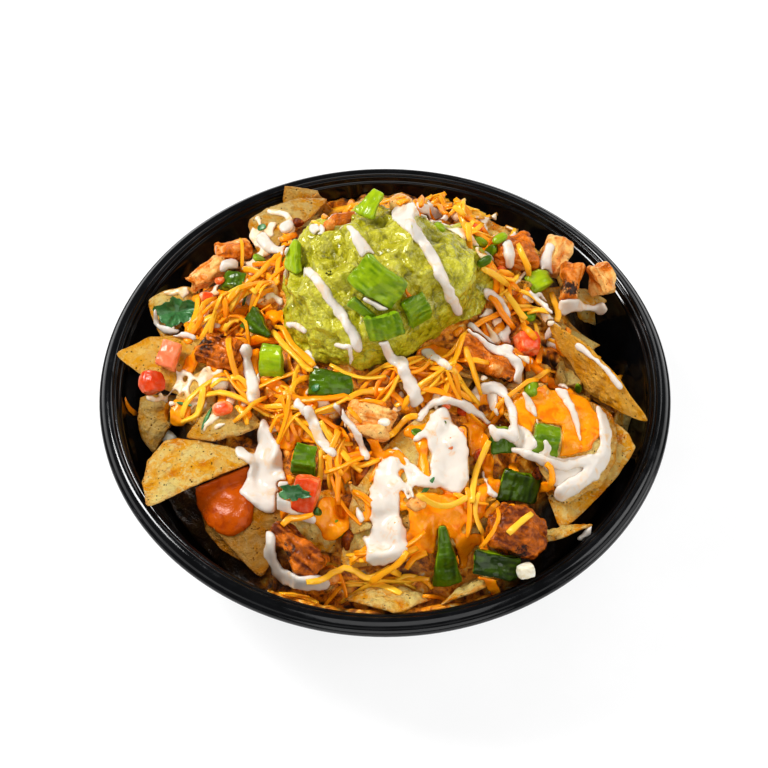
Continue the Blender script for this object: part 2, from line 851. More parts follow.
@dataclass(frozen=True)
class OnionFlesh(Finish):
    """Diced onion: white and a little clear, with faint layers."""

    def nodes(self, board: Board) -> bpy.types.Material:
        """Lays out the material's nodes."""
        layers = board.noise(1.2 * MM, 2, 0.5, 0.2, board.stretched((0.3, 1.0, 0.3), 0.5))
        color = board.ramp(layers, (0.3, tint(226, 212, 178)), (0.7, tint(250, 244, 228)))
        return board.finish(
            Base_Color=color, Roughness=0.2, Normal=board.bump(layers, 0.25 * MM),
            Subsurface_Weight=0.5, Subsurface_Radius=(2.0, 1.8, 1.2), Subsurface_Scale=2.0 * MM,
            Coat_Weight=0.3, Coat_Roughness=0.1,
        )


@dataclass(frozen=True)
class HerbLeaf(Finish):
    """Cilantro: dull green leaf, paler along its veins."""

    leaf: tuple = tint(34, 92, 40)
    light: tuple = tint(86, 150, 84)

    def nodes(self, board: Board) -> bpy.types.Material:
        """Lays out the material's nodes."""
        cloud = board.noise(3 * MM, 3, 0.6)
        color = board.ramp(cloud, (0.3, self.leaf), (0.75, self.light))
        veins = board.fade(board.cells(2.4 * MM), 0.0, 0.3)
        height = board.sum((veins, -0.5), (board.noise(0.8 * MM, 2), 0.6))
        return board.finish(
            Base_Color=color, Roughness=0.34, Normal=board.bump(height, 0.25 * MM),
            Subsurface_Weight=0.1, Subsurface_Radius=(0.4, 1.0, 0.3), Subsurface_Scale=0.6 * MM,
            Coat_Weight=0.25, Coat_Roughness=0.2,
        )


@dataclass(frozen=True)
class HeapGround(Finish):
    """What shows between the pieces: broken chips, melted cheese and dark gaps."""

    def nodes(self, board: Board) -> bpy.types.Material:
        """Lays out the material's nodes."""
        cloud = board.noise(5 * MM, 4, 0.65, 0.6)
        color = board.ramp(
            cloud, (0.34, tint(70, 34, 4)), (0.45, tint(190, 108, 10)), (0.54, tint(244, 156, 20)),
            (0.62, tint(252, 196, 84)), (0.7, tint(246, 226, 196)),
        )
        color = board.mix(board.fade(board.value("crest"), 0.3, -0.35, 0.96), color, tint(30, 14, 4))
        gap = board.sum((board.value("gap"), 1.0), (board.noise(12 * MM, 2), 0.5))
        color = board.mix(board.fade(gap, 0.5, 0.95, 0.97), color, tint(14, 8, 5))
        height = board.sum((board.noise(2.2 * MM, 4, 0.65), 1.0), (board.noise(0.8 * MM, 3, 0.6), 0.4))
        return board.finish(
            Base_Color=color, Roughness=0.36, Normal=board.bump(height, 0.8 * MM),
            Subsurface_Weight=0.1, Subsurface_Radius=(1.4, 0.7, 0.3), Subsurface_Scale=1.0 * MM,
        )


@dataclass(frozen=True)
class FloorPaper(Finish):
    """The plain pale floor, with the faintest grain, that shines a little for a light shadow."""

    glow: float = 0.67

    def nodes(self, board: Board) -> bpy.types.Material:
        """Lays out the material's nodes."""
        grain = board.noise(40 * MM, 3)
        color = board.ramp(grain, (0.3, tint(138, 138, 138)), (0.7, tint(144, 144, 144)))
        return board.finish(
            Base_Color=color, Roughness=0.9, Specular_IOR_Level=0.1,
            Emission_Color=(1, 1, 1, 1), Emission_Strength=self.glow,
        )


PLASTIC = MouldedPlastic("moulded_plastic")
TORTILLA = Tortilla("fried_tortilla")
CHEESE = Cheese("cheddar_shreds")
CREAM = Liquid("poured_cream", tint(226, 217, 206), tint(232, 198, 154), (0.5, 0.78))
MILKY = Liquid("smeared_cream", tint(242, 228, 206), tint(240, 192, 132), (0.4, 0.7))
SAUCE = Liquid(
    "poured_cheese", color=tint(255, 160, 14), streak=tint(240, 122, 4), grain=0.4 * MM,
    roughness=0.2, soft=(1.8, 0.8, 0.2), soft_weight=0.12, streaks=(0.45, 0.75),
)
AMBER = Liquid(
    "thick_cheese", color=tint(186, 84, 0), streak=tint(158, 62, 0), grain=0.3 * MM,
    roughness=0.26, soft=(1.8, 0.8, 0.2), soft_weight=0.04, streaks=(0.45, 0.75), shine=0.22,
)
THIN_CREAM = Liquid("thin_cream", tint(229, 219, 206), tint(238, 182, 122), (0.54, 0.8))
GUACAMOLE = Avocado("mashed_avocado")
PEPPER = PepperFlesh("cut_pepper")
TOMATO = TomatoFlesh("diced_tomato")
CHICKEN = ChickenMeat("grilled_chicken")
ONION = OnionFlesh("diced_onion")
HERB = HerbLeaf("herb_leaf")
GROUND = HeapGround("mixed_ground")
PAPER = FloorPaper("pale_paper")


def chaikin(line: Array, rounds: int = 2) -> Array:
    """An open line with its corners cut round, as often as rounds says, and its ends kept."""
    for _ in range(rounds):
        near, far = line[:-1], line[1:]
        cut = np.stack((near * 0.75 + far * 0.25, near * 0.25 + far * 0.75), axis=1)
        cut = cut.reshape(-1, line.shape[1])
        line = np.concatenate((line[:1], cut[1:-1], line[-1:]))
    return line


@dataclass
class Bowl:
    """The round black bowl, turned from its profile. Radii and rises are in mm from the rim's top."""

    height: float = field(default_factory=lambda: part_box("bowl")[1].z)
    foot: float = 73.0
    floor: float = 1.2
    segments: int = 180
    outside: tuple = ((74.5, -65), (76.6, -64.4), (78, -62.5), (84, -56.8), (90, -50), (95.6, -42),
                      (100.5, -33), (104.4, -24), (107.5, -15), (109.7, -9.6), (111.6, -6.6))
    rim: tuple = ((113.6, -6.3), (116.8, -6.6), (118.6, -6.4), (119.8, -5.9), (120, -5.2), (120, -4.2),
                  (119.6, -3.3), (118.9, -3.0), (118.5, -2.5), (117.9, -1.4), (116.8, -0.4), (115.6, 0),
                  (114.5, -0.1), (113.8, -0.6), (113.5, -1.1), (113.1, -0.9), (112.6, -1.0), (112.2, -1.7),
                  (112.0, -2.6), (111.5, -3.0), (110.9, -3.3), (110.5, -4.2))
    inside: tuple = ((109.9, -9), (108.4, -12.6), (106.3, -16.5), (103.2, -25), (99.3, -34), (94.6, -42.6),
                     (88.9, -50.6), (83.4, -57), (77.3, -62), (75, -63.4), (72.5, -63.8))

    def build(self) -> None:
        """Turns the profile and dresses it."""
        flat = [(share * self.foot, -65.0) for share in (0.25, 0.6, 0.9)]
        top = [(share * self.foot, -65.0 + self.floor) for share in (0.92, 0.6, 0.25)]
        line = chaikin(np.array(flat + [*self.outside, *self.rim, *self.inside] + top))
        turns = round_turns(self.segments)
        rings = [ring(turns, radius * MM, self.height + rise * MM) for radius, rise in line]
        bag = Bag()
        middles = [(0, 0, 0.0), (0, 0, self.floor * MM)]
        bag.add(np.concatenate((*rings, middles)), closed_rings(len(rings), self.segments))
        placed(bag.piece("bowl_shell", PLASTIC), ["bowl"])

    def inside_at(self, radius: Array) -> Array:
        """The height of the bowl's inside, and of its rim, at radii."""
        rows = sorted((*self.inside, (0.0, -65 + self.floor), (112, -2.6), (115, 0), (119, -3)))
        radii = [row[0] * MM for row in rows]
        return self.height + np.interp(radius, radii, [row[1] * MM for row in rows])

    def radius_at(self, height: Array) -> Array:
        """The radius of the bowl's inside at heights."""
        rows = sorted(self.inside, key=lambda row: row[1])
        radii, rises = zip(*rows)
        return np.interp((height - self.height) / MM, rises, radii) * MM

    def kept_in(self, points: Array, clear: float) -> Array:
        """The points, drawn inwards where they would be in the wall."""
        limit = self.radius_at(points[:, 2]) - clear
        share = np.minimum(1, limit / np.maximum(np.hypot(points[:, 0], points[:, 1]), 1e-6))
        return np.concatenate((points[:, :2] * share[:, None], points[:, 2:]), axis=1)


def ring_faces(rows: int, columns: int) -> list[tuple[int, ...]]:
    """The squares between rings of points, which face outwards where the rings rise.

    Args:
        rows: how many rings.
        columns: how many points a ring has, anticlockwise.

    Returns:
        The faces.
    """
    faces = []
    for near in range(0, (rows - 1) * columns, columns):
        for step in range(columns):
            after = near + (step + 1) % columns
            faces.append((near + step, after, after + columns, near + step + columns))
    return faces


def closed_rings(rows: int, columns: int, flipped: bool = False) -> list[tuple[int, ...]]:
    """The faces of rings that are closed at both ends to a middle point of their own.

    Args:
        rows: how many rings.
        columns: how many points a ring has.
        flipped: whether the faces are turned round, for rings that go down.

    Returns:
        The faces. The first end's middle point follows the rings, and the last end's comes after it.
    """
    faces = ring_faces(rows, columns)
    low, last = rows * columns, (rows - 1) * columns
    for step in range(columns):
        after = (step + 1) % columns
        faces += [(low, after, step), (low + 1, last + step, last + after)]
    return [face[::-1] for face in faces] if flipped else faces


@dataclass
class HeapCore:
    """The ground under the pieces: the heap's own form, roughened like broken chips and cheese."""

    bowl: Bowl
    rings: int = 104
    turns: int = 230
    sink: float = 1.6 * MM
    edge_sink: float = 10 * MM
    edge_span: tuple[float, float] = (80 * MM, 101 * MM)
    gap_span: tuple[float, float] = (74 * MM, 94 * MM)
    front_spread: float = math.radians(34)
    back_spread: float = math.radians(58)
    clear: float = 0.7 * MM
    crumple: tuple[float, ...] = (1.5 * MM, 0.8 * MM, 0.35 * MM)
    crumple_sizes: tuple[float, ...] = (9 * MM, 4 * MM, 1.8 * MM)
    empty_height: float = 60 * MM
    start_reach: float = 60 * MM
    reach_steps: int = 600
    reach_step: float = 0.1 * MM
    skirt: tuple[float, ...] = (-40, -52, -62.6)

    def build(self, relief: Relief) -> None:
        """Makes the ground and raises the relief to it.

        Args:
            relief: the grid that later pieces are laid on.
        """
        bare = self.bare(relief.view)
        turns = round_turns(self.turns)
        reach = np.full(self.turns, self.start_reach)
        for _ in range(self.reach_steps):
            top = bare.at(reach * np.cos(turns), reach * np.sin(turns))
            inside = reach < self.bowl.radius_at(top) - self.clear
            reach[inside] += self.reach_step
        shares = (np.arange(1, self.rings + 1) / self.rings) ** 0.8
        top = np.concatenate([ring(turns, share * reach) for share in shares])
        top[:, 2] = bare.at(top[:, 0], top[:, 1])
        gap = eased(np.hypot(top[:, 0], top[:, 1]), *self.gap_span) * self.hollow(top[:, 0], top[:, 1])
        crest = np.zeros(len(top))
        for depth, size in zip(self.crumple, self.crumple_sizes):
            wave = 1 - 2 * np.abs(wander(top, size, size / MM))
            top[:, 2] += depth * wave
            crest += wave * depth / sum(self.crumple)
        skirt = []
        for rise in self.skirt:
            height = self.bowl.height + rise * MM
            skirt.append(ring(turns, self.bowl.radius_at(np.array([height]))[0] - self.clear, height))
        ends = [(0, 0, float(bare.at(0, 0))), (0, 0, self.bowl.height + self.skirt[-1] * MM)]
        points = np.concatenate((self.bowl.kept_in(top, self.clear), *skirt, ends))
        faces = closed_rings(self.rings + len(skirt), self.turns, flipped=True)
        beyond = len(points) - len(top)
        bag = Bag()
        gap = np.pad(gap, (0, beyond), constant_values=1.0)
        bag.add(points, faces, crest=np.pad(crest, (0, beyond)), gap=gap)
        placed(bag.piece("heap_ground", GROUND), ["heap"])
        relief.cover(points, faces)

    def bare(self, view: PictureView) -> Relief:
        """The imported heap's own top, with its pits filled and its thin crests taken off."""
        bare = Relief(view)
        bare.cover(*welded("heap"))
        opened = lowest_near(np.where(bare.heights <= 0, self.empty_height, bare.heights), 5)
        opened = -lowest_near(-opened, 4)
        x, y = bare.places()
        drop = self.sink + self.edge_sink * eased(np.hypot(x, y), *self.edge_span) * self.hollow(x, y)
        bare.heights = blur(opened - drop, 3.0)
        return bare

    def hollow(self, x: Array, y: Array) -> Array:
        """How far the food stays off the bowl's wall, from near 0 at the front and back to 1."""
        turn = np.arctan2(y, x)
        front = np.exp(-(((turn + math.pi / 2) / self.front_spread) ** 2))
        back = np.exp(-(((turn - math.pi / 2) / self.back_spread) ** 2))
        return 1 - 0.95 * front - 0.8 * back


@dataclass
class Guacamole:
    """The chunky scoop on top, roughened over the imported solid."""

    voxel: float = 0.65 * MM
    fold: float = 3.4 * MM
    fold_size: float = 19 * MM
    chunks: tuple[tuple[float, float], ...] = ((2.3 * MM, 9 * MM), (1.3 * MM, 4.4 * MM), (0.5 * MM, 2.2 * MM))
    smooth_side: Pixel = (425.0, 345.0)
    smooth_reach: float = 62.0

    def build(self, relief: Relief, view: PictureView) -> None:
        """Makes the scoop and raises the relief to it.

        Args:
            relief: the grid that later pieces are laid on.
            view: the picture's view, in which the smoother side is named.
        """
        points, faces = remeshed(welded("guacamole"), self.voxel, 16)
        normals = vertex_normals(points, faces)
        spread = view.pixels_from(points, self.smooth_side)
        rough = 0.3 + 0.7 * eased(spread, self.smooth_reach * 0.55, self.smooth_reach * 1.3)
        bent = points + 2.2 * MM * np.stack([wander(points, 9 * MM, 5 + axis) for axis in range(3)], axis=1)
        ridge = 1 - 2.4 * np.abs(wander(bent, self.fold_size, 3))
        lift = self.fold * ridge * rough
        crest = 0.35 * ridge
        for depth, size in self.chunks:
            wave = lumps(bent, size, size / MM)
            lift += depth * wave * rough
            crest += wave * 0.75 * depth / self.chunks[0][0]
        points = points + normals * lift[:, None]
        bag = Bag()
        bag.add(points, faces, crest=crest * rough)
        placed(bag.piece("guacamole_scoop", GUACAMOLE), ["guacamole"])
        relief.cover(points, faces)


@dataclass
class Chip:
    """One tortilla chip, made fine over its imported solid: curled, blistered and grainy."""

    node: str
    seed: int
    rings: int = 34
    turns: int = 132
    middle_thickness: float = 1.8 * MM
    edge_thickness: float = 1.05 * MM
    blisters: int = 16

    def build(self, relief: Relief) -> None:
        """Makes the chip and raises the relief to it."""
        points, faces, values = self.shape(*welded(self.node))
        bag = Bag()
        bag.add(points, faces, **values)
        name = self.node.replace("chip_", "tortilla_")
        placed(bag.piece(name, TORTILLA), [self.node])
        relief.cover(points, faces)

    def shape(self, rough: Array, rough_faces: list) -> tuple[Array, list, dict[str, Array]]:
        """The fine chip over a rough one.

        Args:
            rough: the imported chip's points.
            rough_faces: its triangles.

        Returns:
            Points, faces and the values at the points.
        """
        middle, rows, normal = own_axes(rough)
        across = rows[0]
        along = np.cross(normal, across)
        flat = np.stack(((rough - middle) @ across, (rough - middle) @ along), axis=1)
        hull = convex(flat)
        centre = hull.mean(axis=0)
        turns = round_turns(self.turns)
        reach = np.array([hull_reach(hull, centre, turn) for turn in turns])
        reach = (reach + 0.5 * (np.roll(reach, 1) + np.roll(reach, -1))) / 2
        circle = ring(turns, 1.0, self.seed)
        reach *= 1 + 0.02 * wander(circle, 0.35, 1) + 0.01 * wander(circle, 0.12, 2)
        shares = np.linspace(1 / self.rings, 1, self.rings) ** 0.85
        tree = BVHTree.FromPolygons(rough.tolist(), rough_faces)
        lower = np.full((self.rings, self.turns), np.nan)
        plan = np.empty((self.rings, self.turns, 2))
        away = Vector(normal)
        for i, share in enumerate(shares):
            for j, turn in enumerate(turns):
                spot = centre + heading(turn, share * reach[j])
                plan[i, j] = spot
                inner = centre + (spot - centre) * 0.965
                start = middle + across * inner[0] + along * inner[1] - normal * 0.05
                hit = tree.ray_cast(Vector(start), away)[0]
                if hit is not None:
                    lower[i, j] = (np.array(hit) - middle) @ normal
                elif i:
                    lower[i, j] = lower[i - 1, j]
        lower = np.where(np.isnan(lower), np.nanmean(lower), lower)
        for _ in range(3):
            lower = self.smoothed(lower)
        place = middle + plan[..., :1] * across + plan[..., 1:] * along
        spots = place.reshape(-1, 3)
        ripple = 1.1 * MM * wander(spots, 15 * MM, self.seed) + 0.4 * MM * wander(spots, 5 * MM, self.seed)
        lower = lower + ripple.reshape(lower.shape)
        share = np.repeat(shares[:, None], self.turns, axis=1)
        thick = self.middle_thickness + (self.edge_thickness - self.middle_thickness) * eased(share, 0.55, 1)
        blister = self.blister_field(plan, reach.mean())
        grit = 0.5 * MM * lumps(spots, 3.4 * MM, self.seed) + 0.25 * MM * wander(spots, 1.6 * MM, 9)
        upper = lower + thick + blister * 1.1 * MM + grit.reshape(lower.shape)
        under = lower + 0.3 * blister * MM
        round_off = eased(share, 0.975, 1.0) * 0.28 * MM
        top = place + (upper - round_off)[..., None] * normal
        bottom = place + (under + round_off)[..., None] * normal
        rim = place[-1] + (0.5 * (upper + under)[-1])[:, None] * normal
        out = unit(rim - (middle + centre[0] * across + centre[1] * along))
        sides = (top.reshape(-1, 3), rim + out * 0.35 * MM, bottom[::-1].reshape(-1, 3))
        points = np.concatenate((*sides, [top[0].mean(axis=0), bottom[0].mean(axis=0)]))
        faces = closed_rings(2 * self.rings + 1, self.turns, flipped=True)
        edge = np.concatenate((share.reshape(-1), np.ones(self.turns), share[::-1].reshape(-1), [0, 0]))
        bumps = (blister.reshape(-1), np.zeros(self.turns), blister[::-1].reshape(-1) * 0.3, [0, 0])
        tone = np.full(len(points), CHIP_TONES.get(self.node[5:], USUAL_CHIP_TONE))
        return points, faces, {"edge": edge, "blister": np.concatenate(bumps), "tone": tone}

    def smoothed(self, grid: Array) -> Array:
        """A round grid with each value drawn towards its neighbours."""
        around = (np.roll(grid, 1, axis=1) + np.roll(grid, -1, axis=1)) / 2
        inner = np.concatenate((grid[:1], grid[:-1]))
        outer = np.concatenate((grid[1:], grid[-1:]))
        return grid * 0.4 + around * 0.3 + (inner + outer) * 0.15

    def blister_field(self, plan: Array, reach: float) -> Array:
        """Where the chip is blistered, from 0 to about 1."""
        draw = random.Random(self.seed * 7 + 1)
        total = np.zeros(plan.shape[:2])
        for _ in range(self.blisters):
            turn = draw.uniform(0, 2 * math.pi)
            away = reach * 0.85 * math.sqrt(draw.random())
            size = draw.uniform(1.6, 4.2) * MM
            spot = heading(turn, away)
            distance = np.linalg.norm(plan - spot, axis=-1) / size
            total = np.maximum(total, draw.uniform(0.5, 1) * (1 - eased(distance, 0.35, 1.25)))
        return total


def convex(points: Array) -> Array:
    """The corners of the convex outline of flat points, anticlockwise."""
    rows = sorted(map(tuple, points))

    def half(ordered: Sequence[tuple[float, float]]) -> list[tuple[float, float]]:
        """One side of the outline."""
        kept: list[tuple[float, float]] = []
        for spot in ordered:
            while len(kept) > 1:
                (ax, ay), (bx, by) = kept[-2], kept[-1]
                if (bx - ax) * (spot[1] - ay) - (by - ay) * (spot[0] - ax) > 0:
                    break
                kept.pop()
            kept.append(spot)
        return kept[:-1]

    return np.array(half(rows) + half(rows[::-1]))


def hull_reach(hull: Array, centre: Array, turn: float) -> float:
    """How far a convex outline reaches from a point inside it, in a direction."""
    way = heading(turn)
    start, end = hull - centre, np.roll(hull, -1, axis=0) - centre
    side = end - start
    base = way[0] * side[:, 1] - way[1] * side[:, 0]
    base = np.where(np.abs(base) < 1e-12, 1e-12, base)
    distance = (start[:, 0] * side[:, 1] - start[:, 1] * side[:, 0]) / base
    share = (start[:, 0] * way[1] - start[:, 1] * way[0]) / base
    fits = (distance > 0) & (share >= -1e-6) & (share <= 1 + 1e-6)
    return float(distance[fits].min()) if fits.any() else float(np.linalg.norm(hull - centre, axis=1).max())


@dataclass
class Morsel:
    """A small cut or torn piece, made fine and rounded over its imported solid."""

    node: str
    finish: Finish
    slot: str
    seed: int
    voxel: float = 0.45 * MM
    rounds: int = 8
    rib: float = 0.0
    rib_size: float = 2.2 * MM
    rib_stretch: float = 0.3
    rough: tuple[float, ...] = (0.25 * MM, 0.1 * MM)
    rough_sizes: tuple[float, ...] = (4 * MM, 1.4 * MM)
    lobes: float = 0.0
    clear: float = 0.4 * MM
    tone: float = 0.5
    char: float = 0.0
    char_pixel: Pixel | None = None
    char_reach: float = 9.0

    def build(self, relief: Relief, view: PictureView) -> None:
        """Makes the piece and raises the relief to it.

        Args:
            relief: the grid that later pieces are laid on.
            view: the picture's view.
        """
        rough, rough_faces = welded(self.node)
        middle, rows, up = own_axes(rough)
        points, faces = remeshed((rough, rough_faces), self.voxel, self.rounds)
        normals = vertex_normals(points, faces)
        skin = eased(normals @ up, 0.35, 0.75)
        grain = ((points - middle) @ rows.T) * np.array((self.rib_stretch, 1.0, 1.0))
        rib = 1 - 2.2 * np.abs(wander(grain, self.rib_size, self.seed))
        lift = self.rib * rib
        for depth, size in zip(self.rough, self.rough_sizes):
            lift += depth * wander(points, size, self.seed + size / MM)
        streak = wander(grain * np.array((0.5, 1.0, 1.0)), 1.1 * MM, self.seed + 20)
        char = self.char * wander(points, 7 * MM, self.seed + 40)
        if self.char_pixel:
            spread = view.pixels_from(points, self.char_pixel)
            char = char + 0.7 * (1 - eased(spread, self.char_reach * 0.3, self.char_reach * 1.9))
        points = points + normals * lift[:, None]
        if self.lobes:
            flat = (points - middle) @ rows[:2].T
            turn = np.arctan2(flat[:, 1], flat[:, 0])
            wave = self.lobes * (np.cos(5 * turn + self.seed) + 0.5 * np.cos(11 * turn))
            points = points + (wave[:, None] * flat) @ rows[:2]
        floor = relief.at(points[:, 0], points[:, 1], relief.bowl) + self.clear
        points[:, 2] = np.maximum(points[:, 2], floor)
        bag = Bag()
        bag.add(points, faces, skin=skin, tone=self.tone, char=char, rib=rib, streak=streak)
        placed(bag.piece(self.node + "_piece", self.finish), [self.node])
        relief.cover(points, faces)


def outline_depth(spots: Array, outline: Path) -> Array:
    """How far inside a closed outline points lie, in pixels, negative outside.

    Args:
        spots: rows of pixels.
        outline: the outline's corners.

    Returns:
        One signed distance a spot.
    """
    corners = closed_curve(np.array(outline, float))
    near = np.full(len(spots), np.inf)
    inside = np.zeros(len(spots), bool)
    for (ax, ay), (bx, by) in zip(corners, np.roll(corners, -1, axis=0)):
        near = np.minimum(near, line_distance(spots, (ax, ay), (bx, by)))
        crosses = (spots[:, 1] < ay) != (spots[:, 1] < by)
        if abs(by - ay) > 1e-9:
            inside ^= crosses & (spots[:, 0] < (bx - ax) * (spots[:, 1] - ay) / (by - ay) + ax)
    return np.where(inside, near, -near)


def closed_curve(corners: Array, rounds: int = 2) -> Array:
    """A closed outline with its corners cut round."""
    for _ in range(rounds):
        after = np.roll(corners, -1, axis=0)
        cut = (corners * 0.78 + after * 0.22, corners * 0.22 + after * 0.78)
        corners = np.stack(cut, axis=1).reshape(-1, 2)
    return corners


def line_distance(spots: Array, start: Pixel, end: Pixel) -> Array:
    """How far spots lie from a straight line between two points."""
    first, side = np.array(start), np.array(end) - np.array(start)
    length = max(float(side @ side), 1e-9)
    share = np.clip(((spots - first) @ side) / length, 0, 1)
    return np.linalg.norm(spots - first - share[:, None] * side, axis=1)


@dataclass(frozen=True)
class Stripe:
    """A run of liquid along a line of pixels, with its half width at the start and the end."""

    line: Path
    start: float
    end: float
    depth: float = 1.4

    def inside(self, spots: Array) -> Array:
        """How far inside the stripe spots lie, in pixels."""
        line = chaikin(np.array(self.line, float))
        best = np.full(len(spots), -np.inf)
        count = max(len(line) - 1, 1)
        for index, (near, far) in enumerate(zip(line[:-1], line[1:])):
            half = self.start + (self.end - self.start) * (index + 0.5) / count
            best = np.maximum(best, half - line_distance(spots, tuple(near), tuple(far)))
        return best

    def edge(self) -> float:
        """How many pixels the stripe takes to reach its full depth."""
        return max(self.start, self.end)

    def box(self) -> tuple[Array, Array]:
        """The corners of the part of the picture that it lies in."""
        spots, room = np.array(self.line, float), self.edge() + 4
        return spots.min(axis=0) - room, spots.max(axis=0) + room


@dataclass(frozen=True)
class Pool:
    """A pool of liquid with an outline of pixels."""

    outline: Path
    depth: float = 1.6
    soft: float = 7.0

    def inside(self, spots: Array) -> Array:
        """How far inside the pool spots lie, in pixels."""
        return outline_depth(spots, self.outline)

    def edge(self) -> float:
        """How many pixels the pool takes to reach its full depth."""
        return self.soft

    def box(self) -> tuple[Array, Array]:
        """The corners of the part of the picture that it lies in."""
        spots = np.array(self.outline, float)
        return spots.min(axis=0) - 4, spots.max(axis=0) + 4


@dataclass
class Pour:
    """A liquid poured over the food, as stripes and pools of one kind that are laid out in the picture."""

    name: str
    finish: Finish
    shapes: Sequence[Stripe | Pool]
    kept_off: Sequence[Array] = ()
    span: tuple[float, float, float, float] = (104.0, 176.0, 668.0, 632.0)
    step: float = 1.1
    ragged: float = 1.7
    rounds: int = 16
    skin: float = 0.35 * MM
    under: float = 1.3 * MM
    longest_fall: float = 5 * MM
    drop: float = 6.5 * MM
    voxel: float = 0.62 * MM
    unseen_by: PictureView | None = None

    def build(self, relief: Relief) -> None:
        """Pours the liquid and raises the relief to its top.

        Args:
            relief: the grid of what lies below.
        """
        left, top, right, low = self.span
        across, down = np.meshgrid(np.arange(left, right, self.step), np.arange(low, top, -self.step))
        pixels = np.stack((across, down), axis=-1).reshape(-1, 2)
        depth = self.depths(pixels)
        index = np.nonzero(depth > 0)[0]
        eye = relief.view.eye()
        spots = relief.seen(pixels[index])
        fits = relief.on_food(spots)
        if self.unseen_by:
            fits &= relief.hidden(spots, self.unseen_by)
        index, spots = index[fits], spots[fits]
        raw = np.full(len(pixels), np.inf)
        raw[index] = np.linalg.norm(spots - eye, axis=1)
        wet = np.isfinite(raw).reshape(across.shape)
        raw = raw.reshape(across.shape)
        bed = self.settled(np.where(wet, lowest_near(raw, 2), 0.0), wet)
        depth = blur(depth.reshape(across.shape), 0.8)
        skin = self.skin * np.clip(depth / (0.8 * MM), 0, 1)
        front = np.where(wet, np.minimum(bed - depth, raw - skin), 0.0)
        rays = relief.view.rays(pixels).reshape(*across.shape, 3)
        back = np.where(wet & (raw - bed < self.drop), np.maximum(bed, raw), bed) + self.under
        corners = np.stack((front[:-1, :-1], front[1:, :-1], front[:-1, 1:], front[1:, 1:]))
        whole = wet[:-1, :-1] & wet[1:, :-1] & wet[:-1, 1:] & wet[1:, 1:]
        cells = whole & (corners.max(axis=0) - corners.min(axis=0) < self.longest_fall)
        above = eye + rays * front[..., None]
        points, faces = self.shell(above, eye + rays * back[..., None], cells)
        points, faces = remeshed((points, faces), self.voxel, 4)
        points = relief.within(points)
        spots = relief.view.pixels(points)
        column = np.clip(np.rint((spots[:, 0] - left) / self.step).astype(int), 0, across.shape[1] - 1)
        row = np.clip(np.rint((low - spots[:, 1]) / self.step).astype(int), 0, across.shape[0] - 1)
        thin = 1 - np.clip(depth[row, column] / (1.3 * MM), 0, 1)
        bag = Bag()
        bag.add(points, faces, thin=thin)
        placed(bag.piece(self.name, self.finish))
        relief.stamp(above[wet], 0.6 * MM, 0.0)

    def settled(self, bed: Array, wet: Array) -> Array:
        """What the liquid lies on, smoothed by its neighbours but not across a drop."""
        for _ in range(self.rounds):
            total, weight = bed.copy(), np.ones_like(bed)
            for axis, shift in itertools.product((0, 1), (-1, 1)):
                beside = np.roll(bed, shift, axis=axis)
                joined = wet & np.roll(wet, shift, axis=axis) & (np.abs(beside - bed) < self.drop)
                total += np.where(joined, beside, 0.0)
                weight += joined
            bed = total / weight
        return bed

    def depths(self, pixels: Array) -> Array:
        """How deep the liquid is at pixels, in metres."""
        flat = np.concatenate((pixels, np.zeros((len(pixels), 1))), axis=1)
        jitter = self.ragged * (wander(flat, 12.0, 3) + 0.6 * wander(flat, 5.0, 4))
        wave = 1 + 0.3 * wander(flat, 14.0, 6) + 0.1 * wander(flat, 6.0, 7)
        depth = np.zeros(len(pixels))
        for shape in self.shapes:
            low, high = shape.box()
            near = np.nonzero(((pixels > low) & (pixels < high)).all(axis=1))[0]
            share = np.clip((shape.inside(pixels[near]) + jitter[near]) / shape.edge(), 0, 1)
            rounded = shape.depth * MM * np.sqrt(1 - (1 - share) ** 2) * wave[near]
            depth[near] = np.maximum(depth[near], rounded)
        for outline in self.kept_off:
            within = (pixels > outline.min(axis=0)) & (pixels < outline.max(axis=0))
            near = np.nonzero(within.all(axis=1))[0]
            depth[near[hull_depth(pixels[near], outline) > 0.6]] = 0.0
        return depth

    def shell(self, above: Array, below: Array, cells: Array) -> Mesh:
        """A closed skin over and under the cells of a grid of points."""
        count = above.shape[1]
        under = above.shape[0] * count
        faces: list[tuple[int, ...]] = []
        rows, columns = np.nonzero(cells)
        for a in (rows * count + columns).tolist():
            b, c, d = a + 1, a + 1 + count, a + count
            faces.append((a, b, c, d))
            faces.append((under + a, under + d, under + c, under + b))
        padded = np.pad(cells, 1)
        sides = (
            (padded[:-2, 1:-1], 0, 1), (padded[1:-1, 2:], 1, 1 + count),
            (padded[2:, 1:-1], 1 + count, count), (padded[1:-1, :-2], count, 0),
        )
        for beside, first, second in sides:
            rows, columns = np.nonzero(cells & ~beside)
            for a in (rows * count + columns).tolist():
                faces.append((a + first, under + a + first, under + a + second, a + second))
        points = np.concatenate((above.reshape(-1, 3), below.reshape(-1, 3)))
        used = np.unique(np.array([index for face in faces for index in face], int))
        number = np.full(len(points), -1)
        number[used] = np.arange(len(used))
        return points[used], [tuple(int(number[index]) for index in face) for face in faces]


